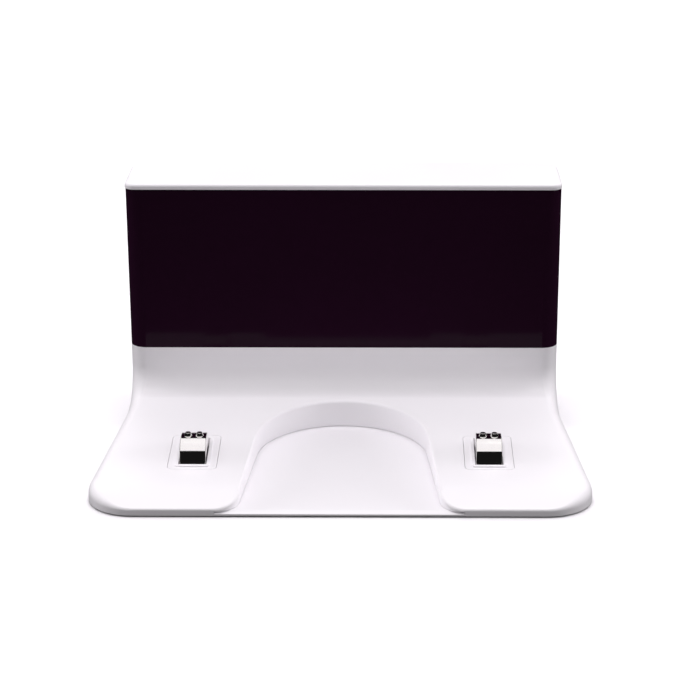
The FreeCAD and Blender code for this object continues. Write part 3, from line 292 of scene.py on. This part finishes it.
# Glass-filled nylon, moulded: black and dull, with glass fibres just under the skin.
BLACK_NYLON = Finish("glass_filled_nylon_moulded", "#161616", "#1E1E1F", (0.45, 0.62), grain_mm=0.4,
                     grain_height_mm=0.01, drift_mm=4.0, ior=1.53)
# Natural nylon, moulded: creamy and slightly waxy.
NATURAL_NYLON = Finish("natural_nylon_moulded", "#E4E0D2", "#DAD5C4", (0.35, 0.48), grain_mm=0.5,
                       grain_height_mm=0.006, drift_mm=4.0, ior=1.53)
# Solder mask over glass-epoxy laminate: green and glossy, with tracks under it.
BOARD_LAMINATE = SolderMask("solder_mask_laminate", "#123A20", "#164526", (0.28, 0.40), grain_mm=0.6,
                            grain_height_mm=0.008, drift_mm=12.0, ior=1.55)
# Smoked epoxy, cast: near black, glassy.
SMOKED_EPOXY = Finish("smoked_epoxy_cast", "#1A121F", "#241728", (0.06, 0.12), grain_mm=1.2,
                      grain_height_mm=0.003, drift_mm=3.0, ior=1.54)
# Transfer-moulded epoxy: black with a fine matt blast.
CHIP_EPOXY = Finish("epoxy_transfer_moulded", "#1B1B1C", "#232324", (0.55, 0.68), grain_mm=0.2,
                    grain_height_mm=0.01, drift_mm=3.0, ior=1.55)
# Sintered ferrite: dark grey, dry and slightly pitted.
FERRITE = Finish("ferrite_sintered", "#2C2C2E", "#38383A", (0.62, 0.78), grain_mm=0.35, grain_height_mm=0.03,
                 drift_mm=3.0, ior=2.0, specular=0.4)
# Polyester tape over a copper winding: clear yellow with a drawn gloss along the turns.
WINDING_TAPE = Finish("polyester_tape_wound", "#D9A92A", "#CC9A1E", (0.18, 0.32), grain_mm=1.4,
                      grain_height_mm=0.03, drift_mm=5.0, ior=1.57, stretch=(0.1, 0.1, 1.0))
# Shrunk PVC sleeve on a drawn can: dark blue gloss with slight ripples.
PVC_SLEEVE = Finish("pvc_sleeve_shrunk", "#1D2748", "#222E56", (0.18, 0.28), grain_mm=2.0,
                    grain_height_mm=0.02, drift_mm=6.0, ior=1.53)
# Glazed ceramic tube: cream, smooth.
GLAZED_CERAMIC = Finish("ceramic_glazed", "#DDD4BC", "#D2C7AB", (0.12, 0.22), grain_mm=1.0,
                        grain_height_mm=0.006, drift_mm=3.0, ior=1.55)
# Matt paint on the studio floor: pale and even.
FLOOR_PAINT = Finish("floor_painted_pale", "#FCFBFD", "#F9F8FA", (0.7, 0.8), grain_mm=2.0,
                     grain_height_mm=0.01, drift_mm=200.0, specular=0.2)


def lead_insulation(colour: str, name: str) -> Finish:
    """PVC insulation, extruded: satin, with faint lines along the lead.

    Args:
        colour: sRGB hex colour.
        name: Word for the colour.

    Returns:
        The finish of that lead.
    """
    return Finish(f"pvc_insulation_{name}", colour, colour, (0.38, 0.5), grain_mm=0.5, grain_height_mm=0.008,
                  drift_mm=5.0, ior=1.53)


def dress(node: str, finish: Finish, frame: dict) -> None:
    """Give a solid of the frame its finish.

    Args:
        node: Name of the solid.
        finish: Finish to apply.
    """
    piece = frame["nodes"][node]
    for slot in piece.material_slots:
        slot.material = finish.build()
    LOG.info("dressed %s in %s", node, finish.name)


Path = list[tuple[Vector, Vector]]
Ring = list[Vector]
Corners = list[tuple[float, float, float]]
Section = list[tuple[float, float]]


def rounded_path(corners: Corners, steps: int = 10) -> Path:
    """Follow a line of corners in a plane, with an arc at each that has a radius.

    Args:
        corners: Two coordinates and a radius for each corner, 0 for a sharp one; the two ends have no arc.
        steps: Pieces of each arc.

    Returns:
        Points along the line, each with the normal to the left of it.
    """
    points = [Vector(corner[:2]) for corner in corners]
    radii = [corner[2] for corner in corners]
    first = (points[1] - points[0]).normalized()
    last = (points[-1] - points[-2]).normalized()
    path = [(points[0], Vector((-first.y, first.x)))]
    for before, corner, after, radius in zip(points, points[1:], points[2:], radii[1:]):
        come = (corner - before).normalized()
        go = (after - corner).normalized()
        turn = math.atan2(come.cross(go), come.dot(go))
        normal = Vector((-come.y, come.x))
        side = math.copysign(radius, turn)
        centre = corner - come * radius * math.tan(abs(turn) / 2) + normal * side
        for step in range(steps + 1 if radius else 1):
            turned = Matrix.Rotation(turn * step / steps, 2) @ normal
            path.append((centre - turned * side, turned))
    path.append((points[-1], Vector((-last.y, last.x))))
    return path


def ring_about(foot: Vector, axis: Vector, along: float, radius: Callable[[float], float],
               count: int = 40) -> Ring:
    """Ring of points round an axis.

    Args:
        foot: Where the axis starts.
        axis: Direction of the axis, of length one.
        along: Distance of the ring from the foot.
        radius: Gives the radius for an angle.
        count: Points of the ring.

    Returns:
        The points in order.
    """
    across = axis.orthogonal().normalized()
    side = axis.cross(across)
    middle = foot + axis * along
    turns = [math.tau * step / count for step in range(count)]
    return [middle + (across * math.cos(turn) + side * math.sin(turn)) * radius(turn) for turn in turns]


def lathe(corners: Corners, foot: Vector, axis: Vector, steps: int = 5) -> list[Ring]:
    """Turn a profile with rounded corners about an axis.

    Args:
        corners: Radius, place along the axis and rounding of each corner.
        foot: Where the axis starts.
        axis: Direction of the axis, of length one.
        steps: Pieces of each rounding.

    Returns:
        Rings from the first corner to the last.
    """
    return [ring_about(foot, axis, point.y, lambda _turn, reach=point.x: reach)
            for point, _normal in rounded_path(corners, steps)]


def section_ring(middle: Vector, point: Vector, normal: Vector, section: Section) -> Ring:
    """Stand a cross-section on a line that runs in the plane of Y and Z.

    Args:
        middle: Point whose X the section, and whose Y the line, is measured from.
        point: Place on the line, as Y and Z.
        normal: Normal to the line there.
        section: Place across the line and height over it of each point.

    Returns:
        The points of the section.
    """
    return [Vector((middle.x + across, middle.y + point.x + normal.x * height, point.y + normal.y * height))
            for across, height in section]


class RingMesh:
    """Mesh made of rings of points, each joined to the next, with both ends closed."""

    def __init__(self, name: str) -> None:
        """Start an empty mesh.

        Args:
            name: Name of the mesh.
        """
        self.name = name
        self.shape = bmesh.new()

    def add(self, rings: list[Ring]) -> None:
        """Join rings of equal count.

        Args:
            rings: Rings in order along the piece.
        """
        loops = [[self.shape.verts.new(point) for point in ring] for ring in rings]
        for low, high in zip(loops, loops[1:]):
            for quad in zip(low, low[1:] + low[:1], high[1:] + high[:1], high):
                self.shape.faces.new(quad)
        self.shape.faces.new(loops[0][::-1])
        self.shape.faces.new(loops[-1])

    def build(self, finish: Finish) -> bpy.types.Mesh:
        """Close the mesh, smooth apart from its hard edges.

        Args:
            finish: Finish of the whole mesh.

        Returns:
            The mesh, with its normals outward.
        """
        bmesh.ops.recalc_face_normals(self.shape, faces=self.shape.faces)
        mesh = bpy.data.meshes.new(self.name)
        self.shape.to_mesh(mesh)
        self.shape.free()
        mesh.shade_smooth()
        mesh.set_sharp_from_angle(angle=math.radians(HARD_EDGE_DEG))
        mesh.materials.append(finish.build())
        return mesh


class Repeater:
    """Copies one mesh to several places with a node group, each copy turned by a seeded angle."""

    def __init__(self, seed: int = 11) -> None:
        """Make the node group.

        Args:
            seed: Seed of the angles.
        """
        self.seed = seed
        tree = bpy.data.node_groups.new("repeat_at_places", "GeometryNodeTree")
        for name, kind in (("Places", "Geometry"), ("Copied", "Object"), ("Finish", "Material"),
                           ("Turn", "Vector"), ("Seed", "Int")):
            tree.interface.new_socket(name, in_out="INPUT", socket_type=f"NodeSocket{kind}")
        tree.interface.new_socket("Copies", in_out="OUTPUT", socket_type="NodeSocketGeometry")
        given = add_node(tree, "NodeGroupInput").outputs
        copied = add_node(tree, "GeometryNodeObjectInfo", {"Object": given["Copied"]})
        turn = add_node(tree, "FunctionNodeRandomValue", {"Max": given["Turn"], "Seed": given["Seed"]},
                        data_type="FLOAT_VECTOR")
        spread = add_node(tree, "GeometryNodeInstanceOnPoints", {
            "Points": given["Places"], "Instance": copied.outputs["Geometry"],
            "Rotation": turn.outputs["Value"]})
        plain = add_node(tree, "GeometryNodeRealizeInstances", {"Geometry": spread.outputs["Instances"]})
        painted = add_node(tree, "GeometryNodeSetMaterial", {"Geometry": plain.outputs["Geometry"],
                                                            "Material": given["Finish"]})
        add_node(tree, "NodeGroupOutput", {"Copies": painted.outputs["Geometry"]})
        self.tree = tree

    def copies(self, mesh: bpy.types.Mesh, places: list[Vector], finish: Finish,
               axis: Vector) -> bpy.types.Mesh:
        """Copy a mesh to places.

        Args:
            mesh: Mesh built about the origin.
            places: Where the copies go.
            finish: Finish of the copies.
            axis: Axis that the copies are turned about.

        Returns:
            One plain mesh of all copies.
        """
        name = mesh.name
        mesh.name = f"{name}_one"
        points = bpy.data.meshes.new(f"{name}_places")
        points.from_pydata(places, [], [])
        copied = bpy.data.objects.new(f"{name}_one", mesh)
        host = bpy.data.objects.new(f"{name}_host", points)
        for part in (copied, host):
            bpy.context.scene.collection.objects.link(part)
        modifier = host.modifiers.new("repeat", "NODES")
        modifier.node_group = self.tree
        values = {"Copied": copied, "Finish": finish.build(), "Turn": axis * math.tau, "Seed": self.seed}
        for socket in self.tree.interface.items_tree:
            if socket.name in values:
                modifier[socket.identifier] = values[socket.name]
        made = bpy.data.meshes.new_from_object(host.evaluated_get(bpy.context.evaluated_depsgraph_get()))
        made.name = name
        for part in (copied, host):
            bpy.data.objects.remove(part)
        return made


def fit_piece(mesh: bpy.types.Mesh, body: Body, slot: str, *nodes: str) -> bpy.types.Object:
    """Let a mesh stand in for solids of the frame.

    Args:
        mesh: Mesh in the frame's place.
        body: Body that it rides on.
        slot: Name of a material slot; not used.
        *nodes: Solids that it stands for.

    Returns:
        The piece.
    """
    piece = bpy.data.objects.new(mesh.name, mesh)
    bpy.context.scene.collection.objects.link(piece)
    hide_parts(*nodes)
    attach(piece, body.value)
    LOG.info("built %s with %d faces", mesh.name, len(mesh.polygons))
    return piece


@dataclass(frozen=True)
class Lamp:
    """One area light of the studio; it faces straight down until it is tilted to the back and turned."""

    name: str
    size: tuple[float, float]
    place: tuple[float, float, float]
    power: float
    tilt_deg: float = 0.0
    turn_deg: float = 0.0
    mirrored: bool = True
    colour: str = "#FFFCFF"

    def build(self) -> None:
        """Hang the light."""
        lamp = bpy.data.lights.new(self.name, "AREA")
        lamp.shape = "RECTANGLE"
        lamp.size, lamp.size_y = self.size
        lamp.energy = self.power
        lamp.color = linear(self.colour)[:3]
        hung = bpy.data.objects.new(self.name, lamp)
        hung.location = self.place
        hung.visible_glossy = self.mirrored
        hung.rotation_euler = (math.radians(self.tilt_deg), 0.0, math.radians(self.turn_deg))
        bpy.context.scene.collection.objects.link(hung)


# The strips mirror the softbox white and the room in front of it black. The narrow key hangs a little
# behind the dock, so that the lid keeps it off the wall under the window. The low lights lift the front and
# the sides, and the high one behind lifts the back and the lid.
LAMPS = (
    Lamp("softbox", (6.0, 7.0), (0.0, 1.1, 2.0), 138.0),
    Lamp("key", (1.2, 0.15), (0.0, 0.17, 2.0), 10.0),
    Lamp("front", (4.0, 1.2), (0.0, -5.0, 0.8), 28.0, tilt_deg=82.0, mirrored=False),
    Lamp("left", (3.2, 1.2), (-4.0, 0.6, 0.8), 85.0, tilt_deg=82.0, turn_deg=-90.0, mirrored=False),
    Lamp("right", (3.2, 1.2), (4.0, 0.6, 0.8), 85.0, tilt_deg=82.0, turn_deg=90.0, mirrored=False),
    Lamp("back", (4.0, 1.2), (0.0, 5.0, 2.4), 72.0, tilt_deg=-65.0, mirrored=False),
)


@dataclass
class Studio:
    """Pale floor, soft lights and the camera at the photograph's angle."""

    focal_px: float = 2094.0
    frame_px: float = 680.0
    sensor_mm: float = 36.0
    near_clip: float = 10.0 * MM
    elevation_deg: float = 19.53
    yaw_deg: float = -0.30
    distance: float = 646.5 * MM
    target: tuple[float, float, float] = (9.8 * MM, -3.0 * MM, 37.38 * MM)
    shift_px: float = -33.8
    floor_half: float = 8.0
    room_level: float = 0.008

    def build(self) -> None:
        """Set up camera, lights, room and floor."""
        self.build_camera()
        for lamp in LAMPS:
            lamp.build()
        self.build_room()
        self.build_floor()

    def build_camera(self) -> None:
        """Camera on the photograph's line of sight, which passes a little to the right of the middle."""
        lens = bpy.data.cameras.new("camera")
        lens.sensor_width = self.sensor_mm
        lens.lens = self.focal_px / self.frame_px * lens.sensor_width
        lens.shift_x = self.shift_px / self.frame_px
        lens.clip_start = self.near_clip
        camera = bpy.data.objects.new("camera", lens)
        fall = math.radians(self.elevation_deg)
        turn = math.radians(self.yaw_deg)
        sight = Vector((math.sin(turn) * math.cos(fall), math.cos(turn) * math.cos(fall), -math.sin(fall)))
        camera.location = Vector(self.target) - sight * self.distance
        camera.rotation_euler = sight.to_track_quat("-Z", "Y").to_euler()
        bpy.context.scene.collection.objects.link(camera)
        bpy.context.scene.camera = camera

    def build_room(self) -> None:
        """Dim even room round the lights."""
        world = bpy.data.worlds.new("room")
        world.use_nodes = True
        background = world.node_tree.nodes["Background"]
        background.inputs["Color"].default_value = (self.room_level, self.room_level, self.room_level, 1.0)
        bpy.context.scene.world = world
        bpy.context.scene.view_settings.view_transform = "Standard"

    def build_floor(self) -> None:
        """Pale painted floor."""
        half = self.floor_half
        mesh = bpy.data.meshes.new("floor")
        corners = [(-half, -half, 0), (half, -half, 0), (half, half, 0), (-half, half, 0)]
        mesh.from_pydata(corners, [], [range(len(corners))])
        floor = bpy.data.objects.new("floor", mesh)
        bpy.context.scene.collection.objects.link(floor)
        mesh.materials.append(FLOOR_PAINT.build())
        floor.visible_diffuse = False
        floor.visible_glossy = False


@dataclass
class Housing:
    """White mouldings and the dark window."""

    mouldings: tuple[str, ...] = ("base_housing", "bottom_plate", "rear_cover", "contact_holder_left",
                                  "contact_holder_right")

    def dress(self, frame: dict) -> None:
        """Finish the mouldings and the window.
        """
        for node in self.mouldings:
            dress(node, WHITE_ABS, frame)
        dress("ir_window", DARK_ACRYLIC, frame)


@dataclass
class Electronics:
    """Board, its components, the leads and the inlet behind the window."""

    finishes: dict[str, Finish] = field(default_factory=lambda: {
        "main_board": BOARD_LAMINATE,
        "transformer_core": FERRITE,
        "line_choke": FERRITE,
        "transformer_winding": WINDING_TAPE,
        "bulk_capacitor": PVC_SLEEVE,
        "output_capacitor": PVC_SLEEVE,
        "mains_fuse": GLAZED_CERAMIC,
        "mains_terminal": NATURAL_NYLON,
        "output_terminal_left": NATURAL_NYLON,
        "output_terminal_right": NATURAL_NYLON,
        "rectifier_chip": CHIP_EPOXY,
        "controller_chip": CHIP_EPOXY,
        "power_inlet": BLACK_NYLON,
        "contact_lead_left": lead_insulation("#B02A22", "red"),
        "contact_lead_right": lead_insulation("#232323", "black"),
        "mains_lead_left": lead_insulation("#5A3420", "brown"),
        "mains_lead_right": lead_insulation("#2A5AA8", "blue"),
    })
    emitter_count: int = 5

    def dress(self, frame: dict) -> None:
        """Finish the inner solids that keep the shape of the frame.
        """
        for node, finish in self.finishes.items():
            dress(node, finish, frame)
        for number in range(1, self.emitter_count + 1):
            dress(f"ir_emitter_{number}", SMOKED_EPOXY, frame)


@dataclass
class ChargingStrips:
    """Plated contact arches with turned-down sides and pressed studs."""

    metal: float = 0.6 * MM
    edge_bend: float = 0.3 * MM
    cheek: float = 5.1 * MM
    cheek_start: float = 1.5 * MM
    # Share of the cheek left at the toes, so that the section keeps its corners apart.
    least_cheek: float = 0.01
    crown_flat: float = 1.8 * MM
    arch_radius: float = 6.0 * MM
    arch_angle_deg: float = 68.0
    flange_bend: float = 0.4 * MM
    stud_height: float = 1.0 * MM
    stud_foot: float = 1.25 * MM
    stud_flare: float = 0.0875 * MM
    stud_sink: float = 0.0525 * MM
    stud_top: float = 0.82 * MM
    stud_rim: float = 0.1148 * MM
    stud_cap: float = 0.1 * MM
    stud_pitch: float = 3.5 * MM
    stud_forward: float = 0.6 * MM

    def build(self) -> None:
        """Build both arches."""
        for side in Side:
            self.build_arch(side)

    def build_arch(self, side: Side) -> None:
        """Sweep the strip over its arch and raise the studs.

        Args:
            side: Side of the dock.
        """
        node = f"contact_{side.word}"
        low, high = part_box(node)
        middle = (low + high) / 2
        crown = high.z - self.stud_height
        arch = RingMesh(f"charging_strip_{side.word}")
        flange = low.z + self.metal
        rings = []
        for point, normal in self.arch_path((high.y - low.y) / 2, crown, flange):
            above = (point.y - flange) / self.cheek_start - 1.0
            share = min(max(above, self.least_cheek), 1.0)
            section = self.section((high.x - low.x) / 2, self.cheek * share)
            rings.append(section_ring(middle, point, normal, section))
        arch.add(rings)
        for end in Side:
            foot = Vector((middle.x + end.value * self.stud_pitch / 2, middle.y - self.stud_forward, crown))
            arch.add(self.stud(foot))
        fit_piece(arch.build(NICKEL_PLATE), Body[f"CONTACT_{side.name}"], "contact_plating", node)

    def arch_path(self, reach: float, crown: float, flange: float) -> Path:
        """Upper face of the strip from one toe to the other.

        Args:
            reach: Half the length between the toes.
            crown: Height of the crown.
            flange: Height of the toes.

        Returns:
            Points and normals in the plane of the arch.
        """
        angle = math.radians(self.arch_angle_deg)
        shoulder = self.crown_flat / 2 + self.arch_radius * math.tan(angle / 2)
        foot = shoulder + (crown - flange) / math.tan(angle)
        half = [(foot, flange, self.flange_bend), (shoulder, crown, self.arch_radius)]
        return rounded_path([(-reach, flange, 0.0), *[(-y, z, bend) for y, z, bend in half],
                             *half[::-1], (reach, flange, 0.0)], steps=24)

    def section(self, half_width: float, cheek: float) -> Section:
        """Outline across the strip, with its sides turned down.

        Args:
            half_width: Half the width of the strip.
            cheek: How far the sides reach below the strip's lower face.

        Returns:
            Place across and height over the upper face of each point, negative below it.
        """
        under = -self.metal
        foot = under - cheek
        inner = half_width - self.metal
        path = rounded_path([(-inner, foot, 0.0), (-inner, under, 0.0), (inner, under, 0.0),
                             (inner, foot, 0.0), (half_width, foot, 0.0), (half_width, 0.0, self.edge_bend),
                             (-half_width, 0.0, self.edge_bend), (-half_width, foot, 0.0)], steps=6)
        return [(point.x, point.y) for point, _normal in path]

    def stud(self, foot: Vector) -> list[Ring]:
        """Pressed stud with a soft foot and a rounded rim.

        Args:
            foot: Middle of the stud on the crown.

        Returns:
            Rings from the foot to the top.
        """
        return lathe([(self.stud_foot + self.stud_flare, -self.stud_sink, 0.0),
                      (self.stud_foot, 0.0, self.stud_flare),
                      (self.stud_top, self.stud_height, self.stud_rim),
                      (self.stud_cap, self.stud_height, 0.0)], foot, UP)


@dataclass
class LeafSprings:
    """Bowed spring strips under the contacts."""

    metal: float = 0.4 * MM
    half_crown: float = 0.8 * MM
    reach: float = 4.5 * MM
    bend: float = 0.7 * MM

    def build(self, frame: dict) -> None:
        """Bend both springs.
        """
        for side in Side:
            node = f"contact_spring_{side.word}"
            low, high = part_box(node)
            spring = RingMesh(f"leaf_spring_{side.word}")
            spring.add(self.rings(low, high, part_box(f"contact_{side.word}")))
            piece = fit_piece(spring.build(SPRING_STEEL), Body.DOCK, "spring_steel", node)
            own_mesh(piece)

    def rings(self, low: Vector, high: Vector, contact: tuple[Vector, Vector]) -> list[Ring]:
        """Sections along the strip from its free toe over the bow to its tail.

        Args:
            low: Lowest corner of the spring's box.
            high: Highest corner of the spring's box.
            contact: Box of the contact over it, whose middle the bow is under.

        Returns:
            The sections in order.
        """
        middle = (contact[0] + contact[1]) / 2
        foot = low.z + self.metal
        line = rounded_path([(low.y - middle.y, foot, 0.0), (-self.reach, foot, self.bend),
                             (-self.half_crown, high.z, self.bend), (self.half_crown, high.z, self.bend),
                             (self.reach, foot, self.bend), (high.y - middle.y, foot, 0.0)], steps=8)
        half = (high.x - low.x) / 2
        section = [(-half, -self.metal), (half, -self.metal), (half, 0.0), (-half, 0.0)]
        return [section_ring(middle, point, normal, section) for point, normal in line]


@dataclass
class Feet:
    """Rubber pads with softened rims."""

    rim: float = 0.3 * MM
    # Radius of the face that closes each end, as a share of the pad's.
    cap_share: float = 0.2
    rows: tuple[str, ...] = ("front", "back")

    def build(self, repeater: Repeater) -> None:
        """Turn one pad and copy it to the four seats.

        Args:
            repeater: Maker of the copies.
        """
        nodes = [f"foot_{row}_{side.word}" for row in self.rows for side in Side]
        low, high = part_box(nodes[0])
        radius = (high.x - low.x) / 2
        pad = RingMesh("rubber_feet")
        height = high.z - low.z
        cap = self.cap_share * radius
        pad.add(lathe([(cap, 0.0, 0.0), (radius, 0.0, self.rim), (radius, height, self.rim),
                       (cap, height, 0.0)], Vector(), UP))
        places = []
        for node in nodes:
            low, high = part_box(node)
            places.append(Vector(((low.x + high.x) / 2, (low.y + high.y) / 2, low.z)))
        copies = repeater.copies(pad.build(FOOT_RUBBER), places, FOOT_RUBBER, UP)
        fit_piece(copies, Body.DOCK, "foot_rubber", *nodes)


@dataclass
class InletPins:
    """Turned pins of the inlet with domed tips."""

    node: str = "inlet_pins"
    tip: float = 0.9 * MM
    tail_round: float = 0.2 * MM
    # Radius of the face that closes each end, as a share of the pin's.
    cap_share: float = 0.1

    def build(self, repeater: Repeater) -> None:
        """Turn one pin and copy it to both places.

        Args:
            repeater: Maker of the copies.
        """
        low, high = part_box(self.node)
        radius = (high.z - low.z) / 2
        length = high.x - low.x
        pin = RingMesh("inlet_pins_turned")
        cap = self.cap_share * radius
        pin.add(lathe([(cap, 0.0, 0.0), (radius, 0.0, self.tail_round), (radius, length, self.tip),
                       (cap, length, 0.0)], Vector(), TO_RIGHT))
        places = [Vector((low.x, y, low.z + radius)) for y in (low.y + radius, high.y - radius)]
        copies = repeater.copies(pin.build(TURNED_BRASS), places, TURNED_BRASS, TO_RIGHT)
        fit_piece(copies, Body.DOCK, "pin_brass", self.node)


@dataclass
class Screws:
    """Pan-head screws with a cross recess and a rolled thread, all those of one solid."""

    node: str
    head: float
    head_height: float
    shank: float
    axis: Vector
    pitch: float = 1.0 * MM
    thread: float = 0.3 * MM
    tip: float = 1.6 * MM
    rings_per_turn: int = 8
    # Recess and flat of the head, as shares of its radius.
    arm_share: float = 0.52
    slot_share: float = 0.13
    flat_share: float = 0.62
    # Recess and upper rounding of the head, as shares of its height.
    depth_share: float = 0.6
    rim_share: float = 0.45
    # Lower rounding of the head, as a share of the upper one.
    under_share: float = 0.1
    # Floor of the recess, as shares of its mouth.
    floor_arm_share: float = 0.55
    floor_slot_share: float = 0.7
    # End of the point, as a share of the shank.
    point_share: float = 0.3

    def build(self, repeater: Repeater) -> None:
        """Build one screw and copy it to its places.

        Args:
            repeater: Maker of the copies.
        """
        low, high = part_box(self.node)
        screw = RingMesh(f"{self.node}_threaded")
        screw.add(self.rings((high - low).dot(self.axis)))
        copies = repeater.copies(screw.build(ZINC_PLATE), self.places(low, high), ZINC_PLATE, self.axis)
        fit_piece(copies, Body.DOCK, "screw_zinc", self.node)

    def places(self, low: Vector, high: Vector) -> list[Vector]:
        """Middles of the heads, found from the solid's box.

        Args:
            low: Lowest corner of the box.
            high: Highest corner of the box.

        Returns:
            One place for each screw.
        """
        spans = []
        for number, along in enumerate(self.axis):
            ends = {round(low[number] + self.head, MICRON_DIGITS),
                    round(high[number] - self.head, MICRON_DIGITS)}
            spans.append([low[number]] if along else sorted(ends))
        return [Vector((x, y, z)) for x in spans[0] for y in spans[1] for z in spans[2]]

    def rings(self, length: float) -> list[Ring]:
        """Rings from the bottom of the cross recess over the head and down the thread.

        Args:
            length: Whole length of the screw.

        Returns:
            The rings in order.
        """
        arm = self.arm_share * self.head
        half_slot = self.slot_share * self.head
        depth = self.depth_share * self.head_height
        rings = [self.cross(depth, self.floor_arm_share * arm, self.floor_slot_share * half_slot),
                 self.cross(0.0, arm, half_slot)]
        rim = self.rim_share * self.head_height
        rings += lathe([(self.flat_share * self.head, 0.0, 0.0), (self.head, 0.0, rim),
                        (self.head, self.head_height, self.under_share * rim),
                        (self.shank, self.head_height, 0.0)], Vector(), self.axis)
        count = int((length - self.head_height) / self.pitch * self.rings_per_turn)
        for number in range(count + 1):
            along = self.head_height + (length - self.head_height) * number / count
            taper = min((length - along) / self.tip, 1.0)
            rings.append(ring_about(Vector(), self.axis, along, self.thread_radius(along, taper)))
        return rings

    def cross(self, along: float, arm: float, half_slot: float) -> Ring:
        """Cross-shaped ring of the recess.

        Args:
            along: Depth of the ring.
            arm: Length of an arm.
            half_slot: Half the width of an arm.

        Returns:
            The points of the ring.
        """
        def radius(turn: float) -> float:
            """Distance to the wall of the recess."""
            from_arm = abs((turn + math.pi / 4) % (math.pi / 2) - math.pi / 4)
            return min(arm, half_slot / max(math.sin(from_arm), TINY))

        return ring_about(Vector(), self.axis, along, radius)

    def thread_radius(self, along: float, taper: float) -> Callable[[float], float]:
        """Radius of the thread round the shank at one place.

        Args:
            along: Distance from the head's face.
            taper: 1 on the shank, falling to 0 at the point.

        Returns:
            Function from angle to radius.
        """
        def radius(turn: float) -> float:
            """Distance from the axis at an angle."""
            wave = abs(2 * ((along / self.pitch - turn / math.tau) % 1.0) - 1)
            return (self.shank - self.thread * wave) * (self.point_share + (1 - self.point_share) * taper)

        return radius


SCREW_SETS = (
    Screws("base_screws", head=2.6 * MM, head_height=1.6 * MM, shank=1.4 * MM, axis=UP),
    Screws("cover_screws", head=2.6 * MM, head_height=1.6 * MM, shank=1.4 * MM, axis=UP),
    Screws("board_screws", head=2.1 * MM, head_height=1.5 * MM, shank=1.1 * MM, axis=INWARD),
)


def main() -> None:
    """Load the frame and build every sub-assembly."""
    logging.basicConfig(level=logging.INFO, format="%(name)s: %(message)s")
    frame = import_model()
    Studio().build()
    Housing().dress(frame)
    ChargingStrips().build()
    LeafSprings().build(frame)
    Electronics().dress(frame)
    repeater = Repeater()
    Feet().build(repeater)
    InletPins().build(repeater)
    for screws in SCREW_SETS:
        screws.build(repeater)


if __name__ == "__main__":
    main()
